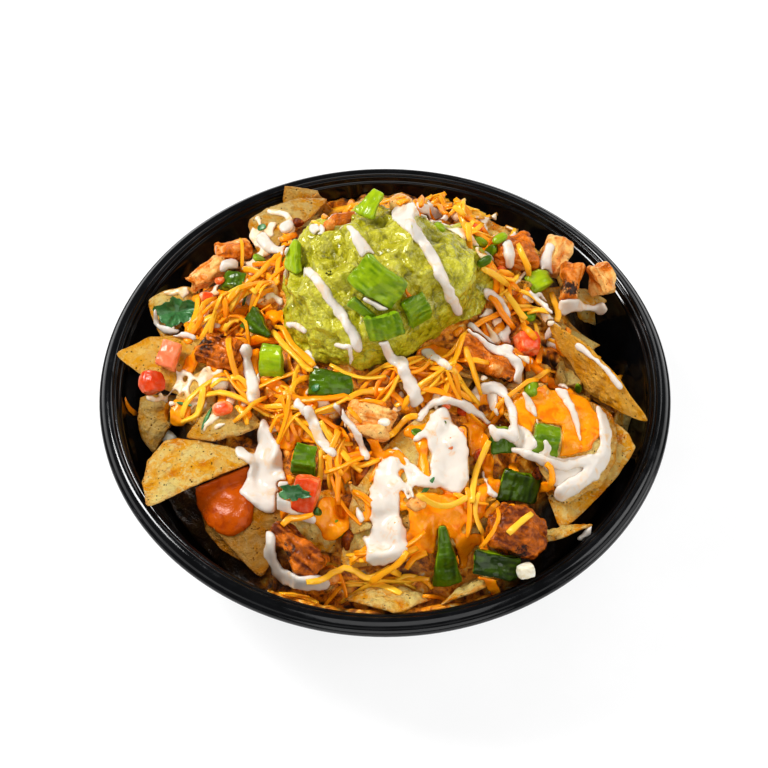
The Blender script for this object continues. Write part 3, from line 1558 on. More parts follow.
@dataclass
class Showing:
    """The pieces that show in the picture, which loose ones are kept off."""

    view: PictureView
    outlines: list[tuple[Array, float]] = field(default_factory=list)
    named: dict[str, Array] = field(default_factory=dict)

    def add(self, node: str, cover: float) -> None:
        """Keeps loose pieces off a node.

        Args:
            node: the node's name.
            cover: the share of the loose pieces that may still lie on it.
        """
        self.named[node] = convex(self.view.pixels(welded(node)[0]))
        self.outlines.append((self.named[node], cover))

    def outlines_of(self, kinds: Sequence[str], but: Sequence[str] = ()) -> list[Array]:
        """The outlines of the pieces of some kinds, but for those named."""
        return [made for node, made in self.named.items() if node.split("_")[0] in kinds and node not in but]

    def allows(self, relief: Relief, spots: Array, draw: random.Random, margin: float = 1.0) -> bool:
        """Whether something may be put down at places in space.

        Args:
            relief: the food, which may hide the places.
            spots: rows of x, y and z.
            draw: the random numbers to decide by.
            margin: how far round an outline counts, in pixels.

        Returns:
            False if it would hide a piece that shows.
        """
        pixels = self.view.pixels(spots[~relief.hidden(spots)])
        for outline, cover in self.outlines:
            low, high = outline.min(axis=0) - margin, outline.max(axis=0) + margin
            near = ((pixels > low) & (pixels < high)).all(axis=1)
            if near.any() and hull_depth(pixels[near], outline).max() > -margin:
                if draw.random() >= cover:
                    return False
        return True


def hull_depth(spots: Array, hull: Array) -> Array:
    """How far inside an anticlockwise convex outline flat spots lie, negative outside."""
    side = np.roll(hull, -1, axis=0) - hull
    inward = np.stack((-side[:, 1], side[:, 0]), axis=1)
    inward /= np.maximum(np.linalg.norm(inward, axis=1, keepdims=True), 1e-12)
    return ((spots[:, None] - hull[None]) * inward[None]).sum(axis=2).min(axis=1)


def longest_run(joined: Array) -> slice:
    """The longest stretch of a line's points that are all joined to the next."""
    cuts = np.concatenate(([-1], np.nonzero(~joined)[0], [len(joined)]))
    longest = int(np.argmax(np.diff(cuts)))
    return slice(int(cuts[longest]) + 1, int(cuts[longest + 1]) + 1)


@dataclass
class Shredder:
    """Lays shreds of cheese on the relief, each bent over what lies under it."""

    relief: Relief
    showing: Showing
    bag: Bag = field(default_factory=Bag)
    draw: random.Random = field(default_factory=lambda: random.Random(5))
    corner: tuple[float, float] = (0.74, 0.66)
    spacing: float = 2.2 * MM
    stiffness: int = 14
    steepest: float = 3.0
    widest_gap: float = 11 * MM
    leap: float = 1.7 * MM
    named_size: tuple[float, float, float] = (2.6 * MM, 1.6 * MM, 0.4 * MM)
    farthest: float = 107 * MM
    hidden_tries: int = 800
    bold: float = 1.8

    def lay(self, path: Array, width: float, height: float, lift: float, bold: float = 1.0) -> None:
        """Lays one shred along a path seen from above.

        Args:
            path: rows of x and y.
            width: the shred's width.
            height: its thickness.
            lift: how far its middle stands proud of the ground.
            bold: how many times the usual steps and gaps it may cross.
        """
        line = chaikin(np.asarray(path, float))
        steps = np.linalg.norm(np.diff(line, axis=0), axis=1)
        run = np.concatenate(([0], np.cumsum(steps)))
        count = max(5, int(run[-1] / self.spacing) + 1)
        marks = np.linspace(0, run[-1], count)
        flat = np.stack([np.interp(marks, run, line[:, axis]) for axis in (0, 1)], axis=1)
        base = self.relief.at(flat[:, 0], flat[:, 1]) + height * 0.3
        run = longest_run(np.abs(np.diff(base)) < bold * self.steepest * self.spacing)
        flat, base, count = flat[run], base[run], len(base[run])
        if count < 4:
            return
        rise = base.copy()
        for _ in range(self.stiffness):
            inner = rise.copy()
            inner[1:-1] = 0.5 * rise[1:-1] + 0.25 * (rise[:-2] + rise[2:])
            inner[0] = 0.6 * rise[0] + 0.4 * (2 * rise[1] - rise[2])
            inner[-1] = 0.6 * rise[-1] + 0.4 * (2 * rise[-2] - rise[-3])
            rise = np.maximum(base, inner)
        if (rise - base).max() > bold * self.widest_gap:
            return
        rise += lift * np.sin(np.linspace(0, math.pi, count))
        spots = np.concatenate((flat, rise[:, None]), axis=1)
        self.strand(spots, width, height, self.draw.uniform(-0.7, 0.7))
        self.relief.stamp(spots, width * 0.5, height * 0.45)

    def strand(self, spots: Array, width: float, height: float, roll: float) -> None:
        """Makes a shred along points in space."""
        count = len(spots)
        along = unit(np.gradient(spots, axis=0))
        side = unit(np.cross(along, np.array((0, 0, 1.0))))
        up = np.cross(side, along)
        twist = roll + self.draw.uniform(-0.9, 0.9) * np.linspace(0, 1, count)
        turned = side * np.cos(twist)[:, None] + up * np.sin(twist)[:, None]
        upper = up * np.cos(twist)[:, None] - side * np.sin(twist)[:, None]
        size = 1 + 0.14 * wander(spots, 3 * MM, self.draw.uniform(0, 30))
        size[0] *= 0.82
        size[-1] *= 0.8
        side_share, top_share = self.corner
        quarter = ((1, -top_share), (1, top_share), (side_share, 1), (-side_share, 1))
        section = quarter + tuple((-across, -lift) for across, lift in quarter)
        rings = []
        for across, lift in section:
            rings.append(spots + (turned * across * width / 2 + upper * lift * height / 2) * size[:, None])
        points = self.relief.within(np.stack(rings, axis=1).reshape(-1, 3))
        sides = len(section)
        faces = [tuple(reversed(face)) for face in ring_faces(count, sides)]
        faces.append(tuple(range(sides)))
        faces.append(tuple(reversed(range((count - 1) * sides, count * sides))))
        self.bag.add(points, faces, tone=self.draw.random())

    def named(self, pixels: Path) -> None:
        """Lays a shred that runs through pixels of the picture."""
        line = chaikin(np.array(pixels, float))
        seen = self.relief.seen(line)
        steps = np.linalg.norm(np.diff(seen, axis=0), axis=1)
        kept = seen[longest_run(steps < self.leap * (1 + np.linalg.norm(np.diff(line, axis=0), axis=1)))]
        width, height, lift = self.named_size
        self.lay(kept[:, :2], width, height, lift, self.bold)

    def scatter(self, zone: "Zone") -> None:
        """Lays a zone's shreds at random places in it."""
        spots = self.relief.seen([zone.spot(self.draw) for _ in range(zone.count)])
        for x, y, _ in spots[self.relief.on_food(spots)]:
            self.loose(x, y, zone.heading, zone.spread, zone.lengths)

    def hidden(self) -> None:
        """Lays shreds on the far side of the heap, which the picture doesn't show."""
        for _ in range(self.hidden_tries):
            away = 30 * MM + 70 * MM * self.draw.random()
            x, y = heading(self.draw.uniform(0.1, math.pi - 0.1), away)
            if self.relief.hidden(np.array([[x, y, float(self.relief.at(x, y)) + 4 * MM]]))[0]:
                self.loose(x, y, 0, 180, (12, 30))

    def loose(self, x: float, y: float, way: float, spread: float, lengths: tuple[float, float]) -> None:
        """Lays one shred from a place, about one way, with a random bend and length in mm."""
        way = math.radians(way + self.draw.uniform(-spread, spread))
        length = self.draw.uniform(*lengths) * MM
        bend = self.draw.uniform(-0.38, 0.38)
        path = [np.array((x, y)) - heading(way, 0.5 * length)]
        for _ in range(4):
            path.append(path[-1] + heading(way, length / 4))
            way += bend + self.draw.uniform(-0.2, 0.2)
        line = np.array(path)
        if np.hypot(line[:, 0], line[:, 1]).max() > self.farthest:
            return
        spots = np.concatenate((line, self.relief.at(line[:, 0], line[:, 1])[:, None]), axis=1)
        if not self.showing.allows(self.relief, spots, self.draw, 3.0):
            return
        width = self.draw.uniform(1.5, 2.6) * MM
        self.lay(line, width, width * self.draw.uniform(0.4, 0.6), self.draw.uniform(0, 1.4) * MM)


@dataclass(frozen=True)
class Zone:
    """A round or long patch of the picture where shreds lie."""

    middle: Pixel
    reach: Pixel
    count: int
    heading: float = 0.0
    spread: float = 180.0
    lengths: tuple[float, float] = (12.0, 32.0)

    def spot(self, draw: random.Random) -> Pixel:
        """A random pixel of the patch."""
        away, turn = math.sqrt(draw.random()), draw.uniform(0, 2 * math.pi)
        across = self.middle[0] + self.reach[0] * away * math.cos(turn)
        return across, self.middle[1] + self.reach[1] * away * math.sin(turn)

    def smears(self, draw: random.Random, half: tuple[float, float], depth: float) -> list[Stripe]:
        """Short runs of liquid at random places in the patch.

        Args:
            draw: the random numbers.
            half: the least and the most half width, in pixels.
            depth: their depth in mm.

        Returns:
            The runs.
        """
        made = []
        for _ in range(self.count):
            x, y = self.spot(draw)
            way = math.radians(self.heading + draw.uniform(-self.spread, self.spread))
            line = [(x, y)]
            for _ in range(draw.choice((1, 2, 3))):
                length = draw.uniform(*self.lengths)
                x, y = x + length * math.cos(way), y + length * math.sin(way)
                way += draw.uniform(-0.9, 0.9)
                line.append((x, y))
            made.append(Stripe(tuple(line), draw.uniform(*half), draw.uniform(*half), depth))
        return made


CHIP_COVERS = {
    "left_big": 0.02, "left_point": 0.0, "left_leaf": 0.15, "left_low": 0.1, "left_mid": 0.1,
    "left_cheese": 0.5, "back_left": 0.08, "right_edge": 0.04, "right": 0.04, "right_dark": 0.1,
    "front_left": 0.12, "front_right": 0.5, "bottom_right": 0.1, "sauce_low": 0.1, "sauce_dark": 0.1,
    "cream_point": 0.1, "center": 0.3, "center_low": 0.45, "ring": 0.2, "curve": 0.5,
    "back_middle": 0.8, "back_far": 0.8,
}

USUAL_CHIP_TONE = 0.6
CHIP_TONES = {
    "sauce_low": 0.12, "sauce_dark": 0.05, "left_low": 0.3, "right_dark": 0.1, "back_left": 0.35,
    "left_mid": 0.4, "right": 0.62, "cream_point": 0.4, "right_edge": 1.0, "left_point": 0.85,
}

TONES = {
    "pepper_back": 0.85, "pepper_left_point": 0.95, "pepper_top_large": 0.66, "pepper_top_right": 0.5,
    "pepper_top_wedge": 0.55, "pepper_top_low": 0.55, "pepper_left_high": 0.25,
    "pepper_left_triangle": 0.2, "pepper_left_tall": 0.8, "pepper_left_dark": 0.25,
    "pepper_middle_ring": 0.4, "pepper_edge_bright": 0.85, "pepper_creamy": 0.2,
    "pepper_ring_piece": 0.5, "pepper_right_wide": 0.1, "pepper_front_long": 0.25,
    "pepper_front_block": 0.0, "tomato_left_large": 0.85, "tomato_left_edge": 0.15,
    "tomato_front": 0.3, "tomato_right": 0.5, "chicken_back_pale": 0.7, "chicken_middle_pale": 0.8,
    "chicken_edge_tall": 0.78, "chicken_back_charred": 0.5, "chicken_left_charred": 0.36,
    "chicken_right_charred": 0.46, "chicken_front_charred": 0.24, "chicken_front_right": 0.2,
    "chicken_edge_middle": 0.5, "chicken_edge_right": 0.72, "chicken_behind_cream": 0.5,
}

CHARRED: dict[str, Pixel] = {
    "chicken_back_charred": (242, 262), "chicken_left_charred": (205, 346),
    "chicken_right_charred": (503, 385), "chicken_front_charred": (288, 550),
    "chicken_front_right": (520, 550), "chicken_edge_middle": (570, 288),
}

SHRED_ZONES = (
    Zone((228, 312), (34, 46), 190, 62, 35), Zone((206, 392), (40, 34), 120),
    Zone((180, 350), (22, 40), 36), Zone((300, 398), (66, 36), 120), Zone((262, 262), (46, 34), 110),
    Zone((420, 376), (66, 26), 90), Zone((516, 316), (44, 50), 90), Zone((470, 244), (56, 34), 70),
    Zone((390, 210), (70, 14), 60), Zone((420, 204), (30, 10), 70, lengths=(8, 20)),
    Zone((540, 420), (50, 50), 24), Zone((478, 520), (44, 40), 80),
    Zone((400, 578), (110, 20), 260, 0, 35), Zone((330, 480), (34, 46), 70),
    Zone((300, 560), (40, 30), 36),
)

CREAM_ZONES = tuple(
    Zone(middle, reach, count, lengths=(5, 11))
    for middle, reach, count in (
        ((248, 262), (46, 34), 36), ((210, 300), (46, 30), 28), ((206, 392), (40, 40), 26),
        ((300, 400), (60, 36), 14), ((440, 380), (60, 26), 10), ((505, 320), (40, 44), 14),
        ((470, 236), (60, 26), 20), ((340, 224), (60, 14), 10),
    )
)

SAUCE_ZONES = tuple(
    Zone(middle, reach, count, lengths=(8, 18))
    for middle, reach, count in (
        ((240, 340), (60, 66), 34), ((350, 430), (80, 60), 26), ((470, 330), (80, 80), 24),
        ((450, 520), (90, 50), 20),
    )
)


@dataclass(frozen=True)
class Bit:
    """One small piece at a pixel of the picture, with its size in mm."""

    pixel: Pixel
    size: tuple[float, float, float]
    tone: float = 0.5
    char: float = 0.0
    square: float = 0.5
    turn: float = 0.0


NAMED_BITS = {
    "onion_dice": (
        Bit((220, 383), (7.5, 6.5, 5)), Bit((170, 436), (6, 7, 5)),
        Bit((384, 423), (5.5, 3.6, 3.4), square=0.2),
    ),
    "tomato_dice": (
        Bit((223, 409), (8.5, 6, 4)), Bit((220, 282), (4.5, 4, 3)), Bit((207, 298), (6, 5, 3.5)),
        Bit((499, 272), (6, 6.5, 4)), Bit((480, 458), (4.5, 7, 3)), Bit((446, 408), (4, 3, 2)),
        Bit((474, 229), (7, 6, 4)),
    ),
    "pepper_bits": (
        Bit((258, 260), (6, 5, 3), 0.7), Bit((282, 262), (8, 3.4, 2.5), 0.8),
        Bit((439, 228), (5.5, 4, 3), 0.9), Bit((417, 433), (4.5, 3.5, 2), 0.3),
        Bit((317, 512), (4, 3.5, 2.5), 0.2), Bit((578, 389), (6, 3, 2), 0.3, turn=-0.6),
        Bit((478, 241), (10, 4, 3), 0.6, turn=-0.5), Bit((492, 252), (9, 5, 3), 0.4, turn=-0.4),
        Bit((500, 240), (7, 4, 3), 0.8, turn=0.6), Bit((484, 262), (7, 4, 3), 0.3, turn=0.3),
    ),
    "chicken_bits": (
        Bit((538, 472), (5, 6.5, 3.5), 0.0, 1.6, 0.2), Bit((557, 485), (3.8, 4.4, 2.6), 0.0, 1.6, 0.2),
        Bit((299, 222), (5, 4, 3.4), 0.1, 1.4, 0.2), Bit((400, 210), (11, 8, 9), 0.9, 0.2, 0.2),
        Bit((418, 210), (12, 8, 10), 0.8, 0.2, 0.2), Bit((440, 214), (10, 8, 9), 0.9, 0.2, 0.2),
        Bit((344, 222), (14, 7, 6), 0.45, 0.2, 0.2, 0.5), Bit((330, 230), (10, 6, 5), 0.5, 0.2, 0.2, 0.2),
        Bit((416, 506), (8, 9, 5), 0.75, 0.3, 0.2), Bit((330, 468), (13, 9, 6), 0.7, 0.3, 0.2, 0.4),
    ),
    "cilantro_bits": (
        Bit((427, 489), (11, 1.8, 0.8), turn=0.75), Bit((207, 418), (11, 1.6, 0.8), turn=1.2),
        Bit((184, 405), (9, 1.4, 0.8), turn=-0.5), Bit((318, 513), (3.4, 2.4, 0.8)),
        Bit((262, 228), (4, 3, 0.8)), Bit((316, 388), (4, 3, 0.8)),
        Bit((245, 300), (5, 2.6, 0.8), turn=0.9),
    ),
}


@dataclass
class Fillings:
    """Small pieces that fill the heap between the large ones."""

    relief: Relief
    showing: Showing
    draw: random.Random = field(default_factory=lambda: random.Random(23))
    bags: dict[str, Bag] = field(default_factory=dict)
    large_tries: int = 240
    small_tries: int = 260
    hidden_tries: int = 420
    thickness: float = 1.5 * MM
    few_sides: int = 18
    many_sides: int = 28

    def bag(self, kind: str) -> Bag:
        """The bag that holds one kind of piece."""
        return self.bags.setdefault(kind, Bag())

    def fits(self, spot: Array, radius: float) -> bool:
        """Whether a piece with a radius in mm may be put down at a place."""
        rim = np.concatenate((ring(round_turns(8), radius * MM)[:, :2] + spot, [spot]))
        spots = np.concatenate((rim, self.relief.at(rim[:, 0], rim[:, 1])[:, None]), axis=1)
        return self.showing.allows(self.relief, spots, self.draw)

    def spot(self, reach: float) -> Array:
        """A random place within a reach of the middle, in mm."""
        away = reach * MM * math.sqrt(self.draw.random())
        return heading(self.draw.uniform(0, 2 * math.pi), away)

    def named(self) -> None:
        """Puts small pieces down where the picture shows them."""
        rows = [(kind, bit) for kind, bits in NAMED_BITS.items() for bit in bits]
        spots = self.relief.seen([bit.pixel for _, bit in rows])
        for (kind, bit), spot, fits in zip(rows, spots, self.relief.on_food(spots)):
            if fits:
                rough = 0.9 if kind == "chicken_bits" else 0.3
                self.lump(kind, spot[:2], bit, rough)

    def frame_at(self, x: float, y: float, tilt: float, turn: float) -> Array:
        """Three axes that stand on the surface at a place, leaned at random and turned."""
        up = unit(self.relief.normal(x, y) + np.array([self.draw.uniform(-tilt, tilt) for _ in range(3)]))
        first = unit(np.cross(np.array((-math.sin(turn), math.cos(turn), 0)), up))
        return np.stack((first, np.cross(up, first), up))

    def lump(self, kind: str, spot: Array, bit: Bit, rough: float) -> None:
        """Puts one rounded, roughened piece on the surface.

        Args:
            kind: the bag that it goes in.
            spot: where, as x and y.
            bit: its size, tone, char and turn, and how square it is cut.
            rough: how rough it is, in mm.
        """
        ball, faces = BALL
        power = 1 - 0.62 * bit.square
        shaped = np.sign(ball) * np.abs(ball) ** power
        shaped = ball * (1 - bit.square) + shaped * bit.square
        half = np.array(bit.size) * MM / 2
        seed = self.draw.uniform(0, 100)
        local = shaped * half
        for depth, scale in ((rough, 4.5), (rough * 0.45, 1.9)):
            push = np.stack([wander(local, scale * MM, seed + axis) for axis in range(3)], axis=1)
            local = local + push * depth * MM
        axes = self.frame_at(spot[0], spot[1], 0.35, bit.turn)
        base = np.array((spot[0], spot[1], float(self.relief.at(spot[0], spot[1]))))
        middle = base + axes[2] * half[2] * 0.45
        world = self.relief.within(middle + local @ axes)
        skin = eased(ball[:, 2], 0.5, 0.9)
        burnt = bit.char * (wander(local, 5 * MM, seed) + 0.25)
        streak = wander(local * np.array((0.2, 1.0, 1.0)), 1.1 * MM, seed)
        self.bag(kind).add(world, faces, tone=bit.tone, char=burnt, skin=skin, streak=streak)
        self.relief.stamp(middle[None], float(min(half[0], half[1])), half[2] * 0.9)

    def shard(self, spot: Array, size: float, tilt: float = 0.5, sink: float = 1.0) -> None:
        """Puts one broken piece of chip on the surface, turned at random.

        Args:
            spot: where, as x and y.
            size: its reach in mm.
            tilt: how much it leans.
            sink: how far its middle lies below its free height, in mm.
        """
        draw = self.draw
        turn = draw.uniform(0, 6.28)
        corners = draw.choice((3, 3, 4))
        turns = sorted(draw.uniform(-0.5, 0.5) + 2 * math.pi * n / corners for n in range(corners))
        outline = np.array([heading(t) for t in turns]) * size * MM * draw.uniform(0.7, 1.0)
        around = round_turns(self.few_sides if size < 8 else self.many_sides)
        reach = np.array([hull_reach(outline, outline.mean(axis=0), t) for t in around])
        reach *= 1 + 0.05 * wander(ring(around, 1.0, around * 0 + size), 0.3, turn)
        curl = draw.uniform(-1.6, 2.2) * MM
        seed = draw.uniform(0, 50)
        shares = (0.25, 0.5, 0.72, 0.88, 0.97, 1.0)
        rows = []
        for share in shares:
            row = ring(around, share * reach, seed * MM)
            row[:, 2] = curl * (row[:, 0] / (size * MM)) ** 2 * 2 + 0.5 * MM * wander(row, 5 * MM, seed)
            rows.append(row)
        thick = np.array([0, 0, self.thickness])
        top = [row + thick * (0.75 if share == 1.0 else 1) for row, share in zip(rows, shares)]
        low = [row + thick * (0.25 if share == 1.0 else 0) for row, share in zip(rows, shares)]
        local = np.concatenate((*top, *low[::-1], [thick, (0, 0, 0)]))
        faces = closed_rings(2 * len(shares), len(around), flipped=True)
        axes = self.frame_at(spot[0], spot[1], tilt, turn)
        rise = float(self.relief.at(spot[0], spot[1])) + (1.6 - sink) * MM
        world = self.relief.within(np.array((spot[0], spot[1], rise)) + local @ axes)
        edge = np.concatenate((np.repeat(shares + shares[::-1], len(around)), (0, 0)))
        blister = np.clip(wander(world, 3 * MM, 7), 0, 1)
        tone = 0.25 + 0.02 * (seed % 25)
        self.bag("tortilla_shards").add(world, faces, edge=edge, blister=blister, tone=tone)
        self.relief.cover(world, faces)

    def scattered(self) -> None:
        """Fills the heap between its large pieces with broken chips and small bits."""
        draw = self.draw
        for _ in range(self.large_tries):
            spot = self.spot(98)
            if self.fits(spot, 9.0):
                self.shard(spot, draw.uniform(7, 15))
        for _ in range(self.small_tries):
            away = 60 * MM + 42 * MM * draw.random()
            spot = heading(draw.uniform(0, 2 * math.pi), away)
            if self.fits(spot, 4.0):
                self.shard(spot, draw.uniform(4, 8), 0.7, 0.6)
        kinds = (
            ("chicken_bits", 60, (6, 13), 0.9, 0.5, 0.2), ("tomato_dice", 30, (4, 7), 0.3, 0.0, 0.7),
            ("onion_dice", 36, (3, 5.5), 0.25, 0.0, 0.8), ("pepper_bits", 30, (3.5, 8), 0.25, 0.0, 0.6),
        )
        for kind, count, lengths, rough, char, square in kinds:
            for _ in range(count):
                spot = self.spot(96)
                if self.fits(spot, 4.0):
                    length = draw.uniform(*lengths)
                    size = (length, length * draw.uniform(0.6, 0.95), length * draw.uniform(0.5, 0.8))
                    turn = draw.uniform(0, 6.28)
                    self.lump(kind, spot, Bit(spot, size, draw.random(), char, square, turn), rough)

    def hidden_shards(self) -> None:
        """Lays broken chips on the far side of the heap, which the picture doesn't show."""
        relief, draw = self.relief, self.draw
        for _ in range(self.hidden_tries):
            away = 40 * MM + 62 * MM * draw.random()
            spot = heading(draw.uniform(-0.25, math.pi + 0.25), away)
            if relief.hidden(np.array([(*spot, float(relief.at(*spot)) + 4 * MM)]))[0]:
                self.shard(spot, draw.uniform(6, 14), 0.6, 0.4)

    def finish(self) -> None:
        """Makes a piece of each bag."""
        kinds = (
            ("tortilla_shards", TORTILLA, "tortilla_chip"), ("chicken_bits", CHICKEN, "chicken"),
            ("tomato_dice", TOMATO, "tomato"), ("onion_dice", ONION, "onion"),
            ("pepper_bits", PEPPER, "green_pepper"), ("cilantro_bits", HERB, "cilantro"),
        )
        for kind, finish, slot in kinds:
            if kind in self.bags:
                placed(self.bags[kind].piece(kind, finish))


def ball_mesh(rounds: int = 3) -> Mesh:
    """A ball of even triangles.

    Args:
        rounds: how finely it is cut.

    Returns:
        Its points, at a distance of 1 from the middle, and its faces.
    """
    golden = (1 + math.sqrt(5)) / 2
    corners = []
    for a, b in itertools.product((-1, 1), repeat=2):
        corners += [(0, a, b * golden), (a, b * golden, 0), (b * golden, 0, a)]
    points = [np.array(corner) / math.hypot(1, golden) for corner in corners]
    faces = []
    for trio in itertools.combinations(range(12), 3):
        sides = [np.linalg.norm(points[i] - points[j]) for i, j in itertools.combinations(trio, 2)]
        if max(sides) < 1.1:
            a, b, c = trio
            if np.dot(np.cross(points[b] - points[a], points[c] - points[a]), points[a]) < 0:
                b, c = c, b
            faces.append((a, b, c))
    for _ in range(rounds - 1):
        halves: dict[tuple[int, int], int] = {}
        finer = []
        for a, b, c in faces:
            middles = []
            for pair in ((a, b), (b, c), (c, a)):
                key = (min(pair), max(pair))
                if key not in halves:
                    spot = points[key[0]] + points[key[1]]
                    halves[key] = len(points)
                    points.append(spot / np.linalg.norm(spot))
                middles.append(halves[key])
            ab, bc, ca = middles
            finer += [(a, ab, ca), (ab, b, bc), (ca, bc, c), (ab, bc, ca)]
        faces = finer
    return np.array(points), faces


BALL = ball_mesh()


@dataclass
class Studio:
    """The pale floor and the soft lights round the bowl."""

    floor_reach: float = 6.0
    key: float = 11.3
    back: float = 2.4
    fill: float = 6.2
    side: float = 3.2
    sky: float = 0.14

    def build(self) -> None:
        """Makes the floor, the lights and the sky."""
        mesh = bpy.data.meshes.new("floor")
        reach = self.floor_reach
        corners = [(-reach, -reach, 0), (reach, -reach, 0), (reach, reach, 0), (-reach, reach, 0)]
        mesh.from_pydata(corners, [], [(0, 1, 2, 3)])
        mesh.materials.append(PAPER.material())
        floor = bpy.data.objects.new("floor", mesh)
        bpy.context.scene.collection.objects.link(floor)
        self.lamp("key_light", (-0.72, 0.28, 0.95), 0.4, self.key)
        self.lamp("back_light", (0.4, 0.8, 0.75), 0.6, self.back)
        self.lamp("fill_light", (0.1, -0.85, 1.0), 1.1, self.fill)
        self.lamp("side_light", (0.95, -0.1, 0.6), 0.6, self.side)
        world = bpy.data.worlds.new("sky")
        world.use_nodes = True
        shade = world.node_tree.nodes["Background"]
        shade.inputs["Color"].default_value = (1, 1, 1, 1)
        shade.inputs["Strength"].default_value = self.sky
        bpy.context.scene.world = world

    def lamp(self, name: str, spot: tuple[float, float, float], size: float, power: float) -> None:
        """Adds a square soft light that points at the food."""
        data = bpy.data.lights.new(name, "AREA")
        data.size = size
        data.energy = power
        lamp = bpy.data.objects.new(name, data)
        lamp.location = spot
        lamp.rotation_euler = (Vector((0, 0, 0.07)) - Vector(spot)).to_track_quat("-Z", "Y").to_euler()
        bpy.context.scene.collection.objects.link(lamp)


THICK_CREAM = 1.25
CREAM_SHAPES: tuple[Stripe | Pool, ...] = (
    Stripe(((309, 271), (318, 279), (327, 294), (341, 312), (353, 334), (359, 348)), 5.5, 6),
    Stripe(((351, 350), (351, 364)), 3, 1.5, 1.2),
    Stripe(((350, 347), (338, 344)), 3, 2, 1.2),
    Stripe(((404, 219), (414, 229), (425, 246), (437, 268), (449, 291), (458, 311)), 7, 5.5),
    Stripe(((349, 227), (358, 240), (367, 255)), 4, 7.5),
    Stripe(((383, 342), (388, 352), (395, 361)), 5.5, 4.5),
    Stripe(((289, 324), (296, 325), (305, 331)), 4, 3.5),
    Stripe(((366, 300), (378, 305), (388, 311)), 3.5, 4.5),
    Stripe(((398, 214), (412, 208), (428, 212), (441, 218)), 7, 6.5, 2.6),
    Stripe(((284, 228), (288, 226)), 6, 6, 2.6),
    Stripe(((262, 238), (272, 250), (288, 252)), 6, 6, 2.2),
    Stripe(((314, 229), (320, 230)), 5, 5, 2.0),
    Stripe(((550, 249), (545, 262), (549, 276)), 6, 5, 1.6),
    Stripe(((226, 266), (231, 264)), 7, 7, 2.6),
    Stripe(((157, 312), (158, 322), (168, 332), (187, 334), (194, 338)), 4, 4.5, 1.6),
    Stripe(((246, 350), (248, 370), (252, 384), (254, 398)), 5.5, 7, 2.6),
    Stripe(((306, 352), (317, 371)), 4.5, 3.5),
    Stripe(((508, 246), (510, 265)), 7, 4, 2.6),
    Stripe(((487, 292), (499, 302), (508, 316), (508, 330)), 5.5, 3.5),
    Stripe(((472, 327), (481, 336), (491, 348), (508, 354), (520, 366), (518, 378)), 5, 5),
    Stripe(((503, 334), (510, 348)), 4, 4),
    Stripe(((534, 292), (544, 304), (553, 313)), 5, 3, 1.6),
    Stripe(((564, 307), (580, 308), (602, 310)), 7, 5, 1.2),
    Stripe(((578, 346), (598, 362), (610, 374), (620, 386)), 2.6, 3.4, 1.4),
    Stripe(((402, 362), (408, 378), (416, 400)), 7, 8),
    Stripe(((425, 352), (436, 358), (449, 368)), 5, 4),
    Stripe(((240, 452), (252, 460)), 6, 6, 1.6),
    Pool(((260, 415), (254, 457), (242, 485), (240, 494), (252, 506), (268, 517), (278, 508),
          (288, 514), (300, 520), (315, 526), (318, 518), (307, 512), (288, 489), (284, 463),
          (282, 449), (272, 430)), 2.2, 8),
    Stripe(((308, 410), (314, 424), (320, 440), (331, 452)), 6, 6, 1.4),
    Stripe(((296, 402), (306, 412)), 4, 5, 1.2),
    Stripe(((337, 406), (350, 424), (361, 443), (367, 457)), 4.5, 4.5),
    Stripe(((270, 537), (270, 556), (279, 573), (296, 583), (324, 582)), 6, 7.5, 2.6),
    Pool(((372, 470), (382, 457), (395, 452), (402, 462), (398, 480), (398, 500), (402, 516),
          (408, 536), (408, 552), (398, 564), (382, 567), (366, 564), (362, 554), (368, 535),
          (370, 518), (366, 497)), 1.1, 10),
    Stripe(((396, 458), (406, 470), (412, 484), (412, 496)), 2.2, 1.6, 1.2),
    Stripe(((404, 458), (414, 470), (420, 484)), 2.2, 1.8, 1.2),
    Stripe(((400, 480), (406, 490), (408, 500)), 1.8, 1.4, 1.2),
    Stripe(((412, 478), (424, 484), (436, 488)), 2.4, 3.0, 1.2),
    Stripe(((357, 503), (360, 520), (367, 542)), 2.4, 3, 1.2),
    Stripe(((412, 466), (424, 476), (430, 484)), 3, 3, 1.2),
    Stripe(((419, 418), (428, 406), (445, 399), (462, 404), (478, 414), (491, 424), (496, 437)), 5, 4.5, 1.6),
    Pool(((430, 408), (426, 430), (429, 450), (428, 470), (434, 486), (450, 492), (466, 490), (471, 475),
          (468, 455), (465, 437), (456, 422), (446, 404)), 1.2, 11),
    Pool(((534, 450), (560, 457), (590, 455), (602, 462), (588, 482), (566, 495), (553, 486),
          (548, 470)), 1.0, 9),
    Pool(((506, 424), (520, 428), (534, 444), (530, 454), (514, 450)), 1.0, 7),
    Stripe(((484, 388), (498, 386), (506, 396)), 5, 5, 1.3),
    Stripe(((492, 392), (494, 408), (500, 424)), 4, 3, 1.1),
    Stripe(((506, 396), (512, 412), (516, 436)), 5, 5, 1.3),
    Stripe(((498, 432), (508, 434), (514, 440)), 4.5, 4, 1.5),
    Stripe(((562, 390), (572, 410), (580, 438)), 5.0, 3.6, 0.9),
    Stripe(((524, 394), (532, 408), (538, 424)), 4.0, 3.0, 0.9),
    Stripe(((545, 442), (549, 452), (548, 460)), 2, 3, 1.2),
    Stripe(((512, 424), (524, 432), (534, 444)), 5, 4, 1.2),
    Stripe(((514, 450), (532, 456), (548, 462), (568, 466), (590, 460)), 4, 5.5, 1.5),
    Stripe(((598, 408), (606, 424), (607, 444), (600, 464), (584, 480), (562, 494)), 4.5, 9.5, 1.8),
    Stripe(((482, 476), (494, 496)), 3, 2.5, 1.2),
    Stripe(((580, 538), (600, 527)), 4.5, 4, 1.4),
    Stripe(((428, 432), (416, 440)), 3, 3, 1.2),
)

